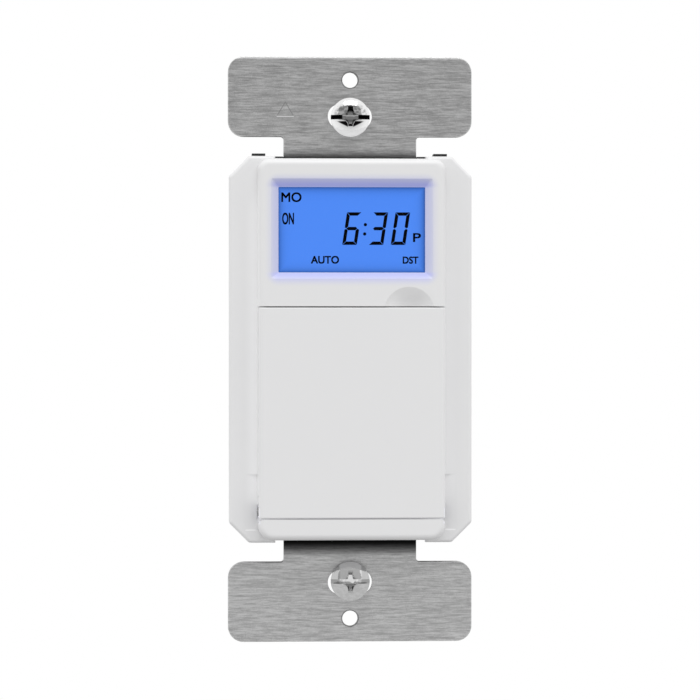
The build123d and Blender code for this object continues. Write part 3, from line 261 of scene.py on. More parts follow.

# Painted fill light beside the raised face, more so in the pockets, and a painted highlight on
# their lower lip
RAISED_SIDE = (16.4 * MM, 16.55 * MM)
FILL_REACH = (19.4 * MM, 16.9 * MM)
FILL_ENDS = (34.0 * MM, 24.0 * MM)
FILL_LEFT, FILL_RIGHT = 0.15, 0.08
POCKET_TOP = (-22.3 * MM, -22.6 * MM)
POCKET_SHARE = 1.25
LIP_Z, LIP_HALF_HEIGHT, LIP_SOFT = -32.35 * MM, 0.1 * MM, 0.08 * MM
LIP_X, LIP_HALF_LENGTH, LIP_END_SOFT = 17.95 * MM, 0.9 * MM, 0.2 * MM
LIP_HIGHLIGHT_STRENGTH = 0.2

# Painted shade in the finger scoop, darker towards its foot
SCOOP_X = 10.8 * MM
SCOOP_SIDES = (4.2 * MM, 0.4 * MM)
SCOOP_TOP = 11.2 * MM
SCOOP_FALL = 2.6 * MM
SCOOP_FOOT = 7.6 * MM
SCOOP_FOOT_SOFT = 0.1 * MM
SCOOP_SHADE = 0.17

# Painted shade of the bezel dims the display this much along its edges, and falls off over this
# length
DISPLAY_BLUE = (0.083, 0.275, 0.990)
DISPLAY_OWN_TONE = 0.03
DISPLAY_ROUGHNESS = 0.3
DISPLAY_GLOSS = 0.1
DISPLAY_EDGE_SHADE = 0.6
DISPLAY_FALL = 0.58 * MM

# The clear pane before the display
WINDOW_TINT = (0.03, 0.03, 0.035)
WINDOW_ALPHA = 0.05
WINDOW_GRAIN = 4 * MM
WINDOW_ROUGHNESS = (0.03, 0.06)

# Board tracks and wire turns
BOARD_GREEN = (0.012, 0.11, 0.035)
BOARD_ROUGHNESS = 0.35
TRACK_SPACING = 2.2 * MM
TRACK_EDGES = (0.42, 0.46)
TRACK_TONE = 1.9
COPPER = (0.72, 0.27, 0.09)
COPPER_GROOVE_SHADE = 0.4
COPPER_ROUGHNESS = 0.3
TURN_PITCH = 0.25 * MM
FINE_RELIEF = 0.03 * MM

# Display lettering, measured from the middle of the display's opening
DIGIT_WIDTH = 2.62 * MM
DIGIT_HEIGHT = 5.81 * MM
DIGIT_STROKE = 0.60 * MM
DIGIT_GAP = 0.04 * MM
DIGIT_SLANT_DEGREES = 8.5
DIGIT_BASE = -2.65 * MM
DIGIT_LEFTS = {"6": -1.88 * MM, "3": 2.85 * MM, "0": 6.79 * MM}
SEGMENTS_OF = {"6": "afgedc", "3": "abgcd", "0": "abcdef"}
COLON_X = 2.0 * MM
COLON_HEIGHTS = (3.60 * MM, 1.95 * MM)
COLON_RADIUS = 0.30 * MM
COLON_CORNERS = 16
MARKS_RIGHT = 0.2 * MM
INK = (0.001, 0.001, 0.002)
INK_GRAIN = 0.2 * MM
INK_ROUGHNESS = (0.3, 0.4)
INK_LIFT = 0.02 * MM
INK_THICKNESS = 0.01 * MM
WORD_WEIGHT = 0.05 * MM
WORD_CURVE_STEPS = 6

# Words by their left, right, lower and upper edges
WORDS = {
    "MO": (-12.73 * MM, -9.12 * MM, 4.95 * MM, 6.70 * MM),
    "ON": (-12.58 * MM, -10.46 * MM, 0.95 * MM, 3.08 * MM),
    "AUTO": (-7.46 * MM, -2.43 * MM, -6.02 * MM, -4.61 * MM),
    "DST": (8.94 * MM, 11.76 * MM, -6.02 * MM, -4.70 * MM),
    "P": (10.78 * MM, 12.21 * MM, -2.13 * MM, -0.53 * MM),
}

# Material slots by colour and roughness. One plastic also gives its grain and relief in
# millimetres and its unevenness, and two metals the size of their marks along each axis.
PLASTICS = {
    "frame_plastic": ((0.55, 0.55, 0.55), 0.45),
    "guide_acrylic": ((0.75, 0.8, 0.86), 0.2),
    "lamp_resin": ((0.8, 0.8, 0.6), 0.2),
    "contact_rubber": ((0.45, 0.2, 0.2), 0.6),
    "black_resin": ((0.02, 0.02, 0.022), 0.5),
    "silicone": ((0.5, 0.52, 0.54), 0.6),
    "key_plastic": ((0.58, 0.585, 0.59), 0.42),
    "connector_plastic": ((0.02, 0.02, 0.02), 0.4),
    "relay_plastic": ((0.03, 0.05, 0.09), 0.3),
    "yellow_box": ((0.75, 0.52, 0.04), 0.35),
    "capacitor_sleeve": ((0.02, 0.03, 0.07), 0.3),
    "blue_disc": ((0.03, 0.12, 0.42), 0.35),
    "fuse_body": ((0.72, 0.70, 0.64), 0.3),
    "dark_plastic": ((0.022, 0.022, 0.023), 0.5, 0.35, 0.02, 0.1),
}
METALS = {
    "green_screw": ((0.05, 0.34, 0.13), 0.3),
    "zinc_screw": ((0.6, 0.6, 0.58), 0.28),
    "can_metal": ((0.68, 0.68, 0.66), 0.22),
    "spring_steel": ((0.56, 0.56, 0.54), 0.3, (3.0, 0.2, 0.2)),
    "contact_brass": ((0.78, 0.58, 0.27), 0.25),
    "soft_iron": ((0.42, 0.41, 0.40), 0.4),
    "brass_screw": ((0.72, 0.56, 0.30), 0.25),
    "brass_plate": ((0.70, 0.53, 0.27), 0.3, (0.3, 3.0, 0.3)),
}

# Meshes: which edges are shaded as smooth or eased, corners round a screw, and what merges
SMOOTH_DEGREES = 30
EASED_DEGREES = 35
HEAD_CORNERS = 96
SHANK_CORNERS = 48
MERGE_DISTANCE = 0.001 * MM

# Turns a screw built along Z so that its head faces the front
TO_FRONT = Matrix.Rotation(math.pi / 2, 4, "X")


class Finish:
    """A node material on one shader, patterned in the piece's own coordinates."""

    def __init__(self, name, colour, roughness, metallic=0.0, **sockets):
        self.material = bpy.data.materials.new(name)
        self.material.use_nodes = True
        self.nodes = self.material.node_tree.nodes
        self.links = self.material.node_tree.links
        self.shader = self.nodes["Principled BSDF"]
        self.place = self.nodes.new("ShaderNodeTexCoord").outputs["Object"]
        values = {"Base Color": colour, "Roughness": roughness, "Metallic": metallic}
        values.update(sockets)
        for socket, value in values.items():
            self.give(socket, value)

    def plug(self, socket, value):
        """Links an output to a socket, or writes a plain value on it."""
        if isinstance(value, bpy.types.NodeSocket):
            self.links.new(value, socket)
        elif socket.type == "RGBA" and len(value) == 3:
            socket.default_value = (*value, 1.0)
        else:
            socket.default_value = value

    def give(self, name, value):
        """Gives the shader's socket of a name its value."""
        self.plug(self.shader.inputs[name], value)

    def math(self, operation, first, second=0.0):
        """One step of arithmetic."""
        node = self.nodes.new("ShaderNodeMath")
        node.operation = operation
        self.plug(node.inputs[0], first)
        self.plug(node.inputs[1], second)
        return node.outputs[0]

    def add(self, first, *others):
        """The sum of several values."""
        for other in others:
            first = self.math("ADD", first, other)
        return first

    def less(self, first, second):
        """What is left of a value when another is taken away."""
        return self.math("SUBTRACT", first, second)

    def times(self, first, *others):
        """The product of several values."""
        for other in others:
            first = self.math("MULTIPLY", first, other)
        return first

    def over(self, first, second):
        """A value divided by another."""
        return self.math("DIVIDE", first, second)

    def highest(self, first, second):
        """The larger of two values."""
        return self.math("MAXIMUM", first, second)

    def size(self, value):
        """A value without its sign."""
        return self.math("ABSOLUTE", value)

    def length(self, first, second):
        """The length of a step that is given along two axes."""
        squares = self.add(self.math("POWER", first, 2.0), self.math("POWER", second, 2.0))
        return self.math("SQRT", squares)

    def along(self):
        """The place on the piece as three numbers."""
        node = self.nodes.new("ShaderNodeSeparateXYZ")
        self.plug(node.inputs[0], self.place)
        return node.outputs

    def noise(self, place, detail):
        """The node of a noise at a place."""
        node = self.nodes.new("ShaderNodeTexNoise")
        self.plug(node.inputs["Vector"], place)
        node.inputs["Scale"].default_value = 1.0
        node.inputs["Detail"].default_value = detail
        return node

    def grain(self, size, detail=2.0):
        """Noise whose grains have a size in metres, one number or one along each axis."""
        scaled = self.nodes.new("ShaderNodeVectorMath")
        scaled.operation = "DIVIDE"
        self.plug(scaled.inputs[0], self.place)
        scaled.inputs[1].default_value = size if isinstance(size, tuple) else (size,) * 3
        return self.noise(scaled.outputs[0], detail).outputs["Fac"]

    def scratches(self, row, length):
        """Straight scratches along X in rows of a height, each of about a length, in metres."""
        x, _, z = self.along()
        number = self.math("FLOOR", self.over(z, row))
        place = self.nodes.new("ShaderNodeCombineXYZ")
        self.plug(place.inputs[0], self.over(x, length))
        self.plug(place.inputs[1], self.times(number, SCRATCH_ROW_STEP))
        noise = self.noise(place.outputs[0], SCRATCH_DETAIL)
        noise.inputs["Roughness"].default_value = SCRATCH_ROUGHNESS
        return noise.outputs["Fac"]

    def fade(self, value, start, end, low=0.0, high=1.0):
        """Goes softly from low to high as the value goes from start to end."""
        node = self.nodes.new("ShaderNodeMapRange")
        node.interpolation_type = "SMOOTHSTEP"
        for socket, item in zip(node.inputs, (value, start, end, low, high)):
            self.plug(socket, item)
        return node.outputs[0]

    def pick(self, factor, off, on):
        """Goes softly from off to on as the factor goes from nought to one."""
        return self.fade(factor, 0.0, 1.0, off, on)

    def without(self, factor):
        """One where a factor is nought, and nought where it is one."""
        return self.fade(factor, 1.0, 0.0)

    def near(self, value, middle, reach, soft):
        """One where a value lies within a reach of its middle, and nought further off."""
        off = self.size(self.less(value, middle))
        return self.fade(off, reach + soft, reach - soft)

    def mix(self, factor, first, second, blend="MIX"):
        """Two colours mixed by a factor."""
        node = self.nodes.new("ShaderNodeMix")
        node.data_type = "RGBA"
        node.blend_type = blend
        self.plug(node.inputs["Factor"], factor)
        colours = [s for s in node.inputs if s.type == "RGBA"]
        self.plug(colours[0], first)
        self.plug(colours[1], second)
        return [s for s in node.outputs if s.type == "RGBA"][0]

    def toned(self, colour, tone):
        """A colour multiplied by a tone."""
        return self.mix(1.0, colour, tone, "MULTIPLY")

    def tone_base(self, tone):
        """Multiplies the shader's patterned colour by a tone."""
        plain = self.shader.inputs["Base Color"].links[0].from_socket
        self.give("Base Color", self.toned(plain, tone))

    def relief(self, height, depth):
        """Surface relief of a depth in metres."""
        node = self.nodes.new("ShaderNodeBump")
        node.inputs["Distance"].default_value = depth
        self.plug(node.inputs["Height"], height)
        self.give("Normal", node.outputs[0])


def opening():
    """The middle of the display's opening, and half its width and height."""
    low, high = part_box("display_window")
    middle = (low + high) / 2
    return middle, (high.x - low.x) / 2 - WINDOW_HIDDEN, (high.z - low.z) / 2 - WINDOW_HIDDEN


def shade(colour, factor):
    """A colour made lighter or darker."""
    return tuple(min(c * factor, 1.0) for c in colour)


def moulded(name, colour, roughness, grain_mm=0.25, depth_mm=0.003, uneven=0.03):
    """Moulded plastic: fine spark texture and faint clouds."""
    finish = Finish(name, colour, roughness)
    fine = finish.grain(grain_mm * MM)
    clouds = finish.grain(CLOUD_SIZE)
    dark, pale = shade(colour, 1 - uneven), shade(colour, 1 + uneven)
    finish.give("Base Color", finish.mix(clouds, dark, pale))
    low, high = roughness - MOULDED_ROUGHNESS_PLAY, roughness + MOULDED_ROUGHNESS_PLAY
    finish.give("Roughness", finish.fade(fine, *SOFT_NOISE, low, high))
    finish.relief(fine, depth_mm * MM)
    return finish


def metal(name, colour, roughness, streak_mm=(0.4, 0.4, 0.4)):
    """Plated or rolled metal with faint drawing marks."""
    finish = Finish(name, colour, roughness, metallic=1.0)
    marks = finish.grain(tuple(s * MM for s in streak_mm), METAL_GRAIN_DETAIL)
    dark, pale = shade(colour, 1 - METAL_UNEVEN), shade(colour, 1 + METAL_UNEVEN)
    finish.give("Base Color", finish.mix(marks, dark, pale))
    low, high = (roughness * share for share in METAL_ROUGHNESS_SHARES)
    finish.give("Roughness", finish.fade(marks, *WIDE_NOISE, low, high))
    finish.relief(marks, METAL_RELIEF)
    return finish


def brushing(finish):
    """The streaks and specks of brushed steel, as one height."""
    parts = [finish.times(finish.scratches(row, length), share) for row, length, share in SCRATCHES]
    return finish.add(*parts, finish.times(finish.grain(SPECK_SIZE), SPECK_SHARE))


def burr_rim_shade(finish, x, z):
    """One on the strap's ears, and darker with painted shade on the burred edges of the wallplate
    holes.
    """
    away = finish.length(x, finish.less(finish.size(z), HOLE_Z))
    ragged = finish.add(away, finish.times(finish.grain(BURR_GRAIN), BURR_RAGGED))
    return finish.fade(ragged, *BURR_RADII, BURR_SHADE_TONE, 1.0)


def stamped_triangle(finish, x, z):
    """One along the outline of the stamped triangle, where shade is painted."""
    slope = math.hypot(TRIANGLE_HALF_WIDTH, TRIANGLE_HEIGHT)
    across = finish.times(finish.size(finish.less(x, TRIANGLE_X)), TRIANGLE_HEIGHT / slope)
    rise = finish.less(z, TRIANGLE_BASE)
    side = finish.add(across, finish.times(rise, TRIANGLE_HALF_WIDTH / slope))
    side = finish.less(side, TRIANGLE_HALF_WIDTH * TRIANGLE_HEIGHT / slope)
    outside = finish.highest(side, finish.times(rise, -1.0))
    return finish.near(outside, 0.0, STAMP_LINE, STAMP_SOFT)


def triangle_foot_highlight(finish, x, z):
    """One along the painted highlight under the stamped triangle."""
    line = finish.near(z, TRIANGLE_BASE - FOOT_DROP, FOOT_LINE, FOOT_SOFT)
    return finish.times(line, finish.near(x, TRIANGLE_X, FOOT_HALF_WIDTH, STAMP_SOFT))


def ear_edge_highlight(finish, z):
    """One in the ragged band of painted highlight along the top of the upper ear."""
    width = finish.add(EDGE_WIDTH, finish.times(finish.grain(EDGE_GRAIN), EDGE_RAGGED))
    return finish.math("LESS_THAN", finish.less(EAR_TOP, z), width)


def neck_shade(finish, z):
    """One on the ears, and darker on the necks towards the cover."""
    low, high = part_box("front_cover")
    start, end = UPPER_SHADE
    upper = finish.fade(z, high.z + start, high.z + end, UPPER_SHADE_TONE, 1.0)
    away = finish.over(finish.less(low.z, z), LOWER_SHADE_REACH)
    away = finish.math("MINIMUM", finish.highest(away, 0.0), 1.0)
    away = finish.times(finish.math("POWER", away, 2.0), 1.0 - LOWER_SHADE_TONE)
    return finish.fade(z, -HALF_TURN, HALF_TURN, finish.add(away, LOWER_SHADE_TONE), upper)


def brushed_steel():
    """Strap steel: brushed across, with painted shade on the burred rims of its holes and on its
    stamp, painted highlights under the stamp and along the upper ear's top, and painted shade
    beside the cover.
    """
    finish = Finish("strap_steel", STRAP_GREY, STRAP_ROUGHNESS[0], metallic=1.0)
    x, y, z = finish.along()
    front = finish.fade(y, *FACE_DEPTHS)
    streaks = brushing(finish)
    dark, pale = (shade(STRAP_GREY, tone) for tone in STREAK_TONES)
    colour = finish.mix(finish.fade(streaks, *HARD_NOISE), dark, pale)
    # Painted shade darkens the burred rims of the wallplate holes
    colour = finish.toned(colour, burr_rim_shade(finish, x, z))
    # Painted shade along the stamp's outline, and a painted highlight on the line under it
    stamp_shade = finish.times(stamped_triangle(finish, x, z), STAMP_SHADE_STRENGTH, front)
    colour = finish.mix(stamp_shade, colour, shade(STRAP_GREY, STAMP_SHADE_TONE))
    foot = finish.times(triangle_foot_highlight(finish, x, z), front)
    colour = finish.mix(foot, colour, shade(STRAP_GREY, FOOT_HIGHLIGHT_TONE))
    # Painted highlight along the top of the upper ear
    edge = finish.times(ear_edge_highlight(finish, z), EDGE_HIGHLIGHT_STRENGTH)
    colour = finish.mix(edge, colour, shade(STRAP_GREY, EDGE_HIGHLIGHT_TONE))
    # Painted shade on the necks beside the cover
    neck_shade_tone = finish.pick(front, 1.0, neck_shade(finish, z))
    finish.give("Base Color", finish.toned(colour, neck_shade_tone))
    finish.give("Roughness", finish.fade(streaks, *SOFT_NOISE, *STRAP_ROUGHNESS))
    finish.relief(streaks, STREAK_RELIEF)
    return finish


def on_head(finish):
    """Where a point lies on its device screw's head, from the head's middle."""
    low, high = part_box("mounting_screws")
    x, y, z = finish.along()
    middle = finish.times(finish.math("SIGN", z), high.z - SCREW_HEAD_RADIUS)
    height = finish.less(z, middle)
    across, rise = finish.size(x), finish.size(height)
    return SimpleNamespace(
        upper=finish.math("GREATER_THAN", z, 0.0),
        height=height,
        across=across,
        rise=rise,
        radius=finish.length(across, rise),
        depth=finish.less(y, low.y),
    )


def in_star(finish, at):
    """One in the star recess, whose sides are hollow."""
    side = finish.over(STAR_AREA, finish.highest(at.rise, STAR_RISE_LEAST))
    side = finish.less(at.across, finish.highest(side, STAR_ARM_LEAST))
    star = finish.fade(side, STAR_SOFT, -STAR_SOFT)
    star = finish.times(star, finish.fade(at.radius, *STAR_RADII))
    return finish.times(star, finish.fade(at.across, *STAR_SIDES))


def cut_shade(finish, at, star):
    """Painted shade of the star recess and of the slot's ends."""
    arms = finish.add(finish.fade(at.height, *UPPER_ARM), finish.fade(at.height, *LOWER_ARM))
    star_shade = finish.pick(at.upper, LOWER_STAR_SHADE, arms)
    slot = finish.near(at.height, 0.0, SLOT_HALF_HEIGHT, SLOT_SOFT)
    slot = finish.times(slot, finish.fade(at.across, *SLOT_STARTS))
    slot_shade = finish.pick(at.upper, LOWER_SLOT_SHADE, UPPER_SLOT_SHADE)
    return finish.times(finish.pick(star, 1.0, star_shade), finish.pick(slot, 1.0, slot_shade))


def in_reflection_wedge(finish, at, star):
    """One in the wedge of painted dark reflection under the slot of the upper head."""
    foot = finish.less(finish.times(at.across, WEDGE_FOOT_RISE), WEDGE_FOOT)
    foot = finish.fade(finish.less(at.height, foot), 0.0, WEDGE_FOOT_SOFT)
    wedge = finish.times(finish.fade(at.height, *WEDGE_TOP), foot, at.upper)
    return finish.times(wedge, finish.fade(at.across, *WEDGE_SIDES), finish.without(star))


def dome_reflection(finish, at, star, ragged):
    """Painted reflections on the domes: mottled on the upper head's top, and dimmer below each
    slot.
    """
    patch = finish.fade(at.radius, *PATCH_RADII)
    patch = finish.times(patch, finish.fade(at.height, *PATCH_HEIGHTS), finish.without(star))
    # Painted reflection: a mottled patch on the upper head's dome
    upper_high = finish.pick(patch, 1.0, finish.fade(ragged, *HARD_NOISE, *PATCH_REFLECTION_TONES))
    upper_low = finish.fade(at.radius, *UPPER_DOME_BELOW)
    lower_high = finish.fade(at.across, *LOWER_DOME_ABOVE)
    lower_low = finish.fade(ragged, *SOFT_NOISE, *LOWER_DOME_BELOW)
    high = finish.pick(at.upper, lower_high, upper_high)
    low = finish.pick(at.upper, lower_low, upper_low)
    dome = finish.pick(finish.fade(at.height, *DOME_TURN), high, low)
    return finish.times(dome, finish.pick(in_reflection_wedge(finish, at, star), 1.0, WEDGE_REFLECTION_TONE))


def chrome_screw():
    """Bright plating, with painted shade in the cuts and painted reflections on the domes of the
    heads.
    """
    finish = metal("plated_screw", CHROME, CHROME_ROUGHNESS)
    at = on_head(finish)
    star = in_star(finish, at)
    ragged = finish.grain(CHROME_GRAIN)
    # Painted shade in the cuts and painted reflections on the domes
    tone = finish.times(cut_shade(finish, at, star), dome_reflection(finish, at, star, ragged))
    head = finish.fade(at.depth, SCREW_HEAD_HEIGHT, SCREW_HEAD_HEIGHT - HEAD_FOOT_SOFT)
    finish.tone_base(finish.pick(head, 1.0, tone))
    finish.relief(ragged, CHROME_RELIEF)
    return finish


def by_side(finish, rise, half_height, top, side, bottom):
    """A value that differs above, beside and below the display's opening."""
    inside, outside = half_height - BEVEL_TURN_INSIDE, half_height + BEVEL_TURN_OUTSIDE
    up = finish.fade(rise, inside, outside, 0.0, top - side)
    down = finish.fade(rise, -inside, -outside, 0.0, bottom - side)
    return finish.add(side, finish.add(up, down))


def on_bevel(finish, x, z):
    """The display's glow painted on the bevel round it, and the bevel's painted shade."""
    middle, half_width, half_height = opening()
    rise = finish.less(z, middle.z)
    aside = finish.highest(finish.less(finish.size(x), half_width), 0.0)
    above = finish.highest(finish.less(finish.size(rise), half_height), 0.0)
    near = finish.fade(finish.length(aside, above), GLOW_REACH, 0.0)
    glow = finish.times(near, by_side(finish, rise, half_height, *GLOW))
    return glow, finish.times(near, by_side(finish, rise, half_height, *RECESS_SHADE))


def at_hinge(finish, reach, y, z):
    """Factors of the hollow at the door's hinge, with its corner, and of the corner alone."""
    hollow = finish.near(z, HOLLOW_Z, HOLLOW_HALF_HEIGHT, HINGE_SOFT)
    hollow = finish.times(finish.fade(reach, *HOLLOW_SIDES), hollow, finish.fade(y, *HOLLOW_DEPTHS))
    corner = finish.near(reach, CORNER_X, CORNER_HALF_WIDTH, CORNER_SOFT)
    corner = finish.times(corner, finish.near(z, CORNER_Z, CORNER_HALF_HEIGHT, HINGE_SOFT))
    corner = finish.times(corner, finish.fade(y, *CORNER_DEPTHS))
    return finish.highest(hollow, corner), corner


def painted_fill_beside_face(finish, x, z, reach):
    """How much painted fill light brightens the flange beside the raised face, with a painted
    highlight on the lips of its pockets.
    """
    beside = finish.times(finish.fade(reach, *FILL_REACH), finish.fade(reach, *RAISED_SIDE))
    beside = finish.times(beside, finish.fade(x, -HALF_TURN, HALF_TURN, FILL_LEFT, FILL_RIGHT))
    beside = finish.times(beside, finish.fade(z, *POCKET_TOP, 1.0, POCKET_SHARE))
    beside = finish.times(beside, finish.fade(finish.size(z), *FILL_ENDS))
    lip_highlight = finish.near(z, LIP_Z, LIP_HALF_HEIGHT, LIP_SOFT)
    lip_highlight = finish.times(lip_highlight, finish.near(reach, LIP_X, LIP_HALF_LENGTH, LIP_END_SOFT), LIP_HIGHLIGHT_STRENGTH)
    return finish.add(beside, lip_highlight)


def in_scoop(finish, x, z):
    """The shade of the finger scoop."""
    across = finish.size(finish.less(x, SCOOP_X))
    scoop = finish.fade(across, *SCOOP_SIDES, 0.0, SCOOP_SHADE)
    scoop = finish.times(scoop, finish.fade(z, SCOOP_TOP, SCOOP_TOP - SCOOP_FALL))
    return finish.times(scoop, finish.fade(z, SCOOP_FOOT - SCOOP_FOOT_SOFT, SCOOP_FOOT))


def white_plastic():
    """White semi-gloss cover plastic, with the display's glow and light in the hinge's hollow
    painted on it, painted shade on the bevel and in the finger scoop, and painted fill light beside
    the raised face.
    """
    finish = moulded("white_plastic", COVER_WHITE, COVER_ROUGHNESS, **COVER_TEXTURE)
    x, y, z = finish.along()
    reach = finish.size(x)
    # Painted light: the display's glow on the bevel as emission, and the bevel's painted shade
    glow, bevel_shade = on_bevel(finish, x, z)
    # Painted light in the hollow and the corner at the door's hinge, given as emission
    hollow, corner = at_hinge(finish, reach, y, z)
    light = finish.add(finish.times(hollow, HOLLOW_LIGHT), finish.times(corner, CORNER_LIGHT))
    finish.give("Emission Color", finish.mix(hollow, GLOW_BLUE, WHITE))
    finish.give("Emission Strength", finish.add(glow, light))
    # Painted shade on the bevel and in the finger scoop
    dim = finish.less(1.0, finish.highest(bevel_shade, in_scoop(finish, x, z)))
    # Painted fill light beside the raised face and painted highlight on the pockets' lips
    painted_fill = finish.add(1.0, painted_fill_beside_face(finish, x, z, reach))
    finish.tone_base(finish.times(dim, painted_fill))
    return finish


def display_glass():
    """Lit display: blue, with painted shade of the bezel darker along the edges of its opening."""
    finish = Finish("lcd_glass", shade(DISPLAY_BLUE, DISPLAY_OWN_TONE), DISPLAY_ROUGHNESS)
    finish.give("Specular IOR Level", DISPLAY_GLOSS)
    x, _, z = finish.along()
    middle, half_width, half_height = opening()
    side = finish.less(half_width, finish.size(x))
    high = finish.less(half_height, finish.size(finish.less(z, middle.z)))
    # Painted shade of the bezel along the opening's edges
    edge = finish.math("MINIMUM", side, high)
    falling = finish.math("EXPONENT", finish.over(edge, -DISPLAY_FALL))
    level = finish.less(1.0, finish.times(falling, DISPLAY_EDGE_SHADE))
    finish.give("Emission Color", finish.mix(level, BLACK, DISPLAY_BLUE))
    finish.give("Emission Strength", 1.0)
    return finish


def clear_window():
    """Clear pane, almost unseen from the front."""
    finish = Finish("clear_window", WINDOW_TINT, WINDOW_ROUGHNESS[0], Alpha=WINDOW_ALPHA)
    finish.give("Specular IOR Level", DISPLAY_GLOSS)
    grain = finish.grain(WINDOW_GRAIN)
    finish.give("Roughness", finish.fade(grain, *SOFT_NOISE, *WINDOW_ROUGHNESS))
    return finish


def board_laminate():
    """Green circuit board with paler tracks."""
    finish = Finish("board_laminate", BOARD_GREEN, BOARD_ROUGHNESS)
    tracks = finish.nodes.new("ShaderNodeTexVoronoi")
    tracks.distance = "MANHATTAN"
    tracks.feature = "F1"
    tracks.inputs["Scale"].default_value = 1 / TRACK_SPACING
    finish.plug(tracks.inputs["Vector"], finish.place)
    track = finish.fade(tracks.outputs["Distance"], *TRACK_EDGES)
    finish.give("Base Color", finish.mix(track, BOARD_GREEN, shade(BOARD_GREEN, TRACK_TONE)))
    finish.relief(track, FINE_RELIEF)
    return finish


def winding_copper():
    """Enamelled wire in close turns, with painted shade in the grooves between them."""
    finish = Finish("coil_copper", COPPER, COPPER_ROUGHNESS, metallic=1.0)
    _, y, _ = finish.along()
    turns = finish.math("SINE", finish.times(y, 2 * math.pi / TURN_PITCH))
    # Painted shade in the grooves between the turns
    high = finish.fade(turns, -1.0, 1.0)
    finish.give("Base Color", finish.mix(high, shade(COPPER, COPPER_GROOVE_SHADE), COPPER))
    finish.relief(turns, FINE_RELIEF)
    return finish


def make_finishes():
    """One finish for each material slot of the record."""
    finishes = {
        "strap_steel": brushed_steel(),
        "plated_screw": chrome_screw(),
        "white_plastic": white_plastic(),
        "clear_window": clear_window(),
        "lcd_glass": display_glass(),
        "board_laminate": board_laminate(),
        "coil_copper": winding_copper(),
    }
    finishes.update({name: moulded(name, *values) for name, values in PLASTICS.items()})
    finishes.update({name: metal(name, *values) for name, values in METALS.items()})
    return finishes


def put(name, data):
    """A new object in the scene."""
    item = bpy.data.objects.new(name, data)
    bpy.context.scene.collection.objects.link(item)
    return item


def turned(item, direction):
    """Turns a lamp or a camera so that it looks along a direction."""
    item.rotation_mode = "QUATERNION"
    item.rotation_quaternion = direction.to_track_quat("-Z", "Y")


def evaluated_mesh(item):
    """The mesh that an object's curve or modifiers give."""
    bpy.context.view_layer.update()
    graph = bpy.context.evaluated_depsgraph_get()
    return bpy.data.meshes.new_from_object(item.evaluated_get(graph))


def piece(name, mesh, finish, body):
    """Puts a mesh in the scene as a piece that rides on a body."""
    mesh.name = name
    mesh.materials.clear()
    mesh.materials.append(finish.material)
    mesh.polygons.foreach_set("use_smooth", [True] * len(mesh.polygons))
    mesh.set_sharp_from_angle(angle=math.radians(SMOOTH_DEGREES))
    item = put(name, mesh)
    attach(item, body)
    return item


def mesh_of(shape):
    """A mesh from a bmesh, which is freed."""
    bmesh.ops.recalc_face_normals(shape, faces=shape.faces)
    mesh = bpy.data.meshes.new("shape")
    shape.to_mesh(mesh)
    shape.free()
    return mesh


def joined(meshes):
    """One mesh that holds several."""
    shape = bmesh.new()
    for mesh in meshes:
        shape.from_mesh(mesh)
        bpy.data.meshes.remove(mesh)
    return mesh_of(shape)


def add_prism(shape, first, second):
    """Adds a closed solid between two rings of as many points."""
    first, second = ([shape.verts.new(point) for point in ring] for ring in (first, second))
    shape.faces.new(first)
    shape.faces.new(second)
    for i in range(len(first)):
        shape.faces.new((first[i - 1], first[i], second[i], second[i - 1]))


def display_point(x, z, lift=0.0):
    """A point on the display's face, from the middle of its opening."""
    middle, _, _ = opening()
    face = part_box("lcd_panel")[0].y
    return Vector((middle.x + x + MARKS_RIGHT, face - INK_LIFT - lift, middle.z + z))


def flat_shape(outlines):
    """Thin ink from flat outlines on the display's face."""
    shape = bmesh.new()
    for outline in outlines:
        back = [display_point(x, z) for x, z in outline]
        front = [display_point(x, z, INK_THICKNESS) for x, z in outline]
        add_prism(shape, back, front)
    return mesh_of(shape)


def segments(width, height, stroke, gap):
    """The seven bars of a digit, with mitred ends."""
    half = stroke / 2
    middle = height / 2
    upper_left = [
        (0, height - gap),
        (stroke, height - stroke - gap),
        (stroke, middle + half + gap),
        (half, middle + gap),
        (0, middle + gap + half / 2),
    ]
    top = [
        (gap, height),
        (width - gap, height),
        (width - stroke - gap, height - stroke),
        (stroke + gap, height - stroke),
    ]
    bar = [
        (half + gap, middle),
        (stroke + gap, middle + half),
        (width - stroke - gap, middle + half),
        (width - half - gap, middle),
        (width - stroke - gap, middle - half),
        (stroke + gap, middle - half),
    ]
    upper_right = [(width - x, z) for x, z in upper_left]

    def below(outline):
        """The same bar in the lower half."""
        return [(x, height - z) for x, z in outline]

    return {
        "a": top,
        "b": upper_right,
        "c": below(upper_right),
        "d": below(top),
        "e": below(upper_left),
        "f": upper_left,
        "g": bar,
    }


def circle(count):
    """Angles of evenly spaced corners."""
    return [2 * math.pi * i / count for i in range(count)]


def display_digits():
    """The time in seven-bar digits with its colon."""
    lean = math.tan(math.radians(DIGIT_SLANT_DEGREES))
    bars = segments(DIGIT_WIDTH, DIGIT_HEIGHT, DIGIT_STROKE, DIGIT_GAP)
    outlines = []
    for digit, left in DIGIT_LEFTS.items():
        for name in SEGMENTS_OF[digit]:
            outlines.append([(left + x + lean * z, DIGIT_BASE + z) for x, z in bars[name]])
    for height in COLON_HEIGHTS:
        x, z = COLON_X + lean * height / 2, DIGIT_BASE + height
        corners = [(math.cos(a), math.sin(a)) for a in circle(COLON_CORNERS)]
        outlines.append([(x + COLON_RADIUS * dx, z + COLON_RADIUS * dz) for dx, dz in corners])
    return flat_shape(outlines)


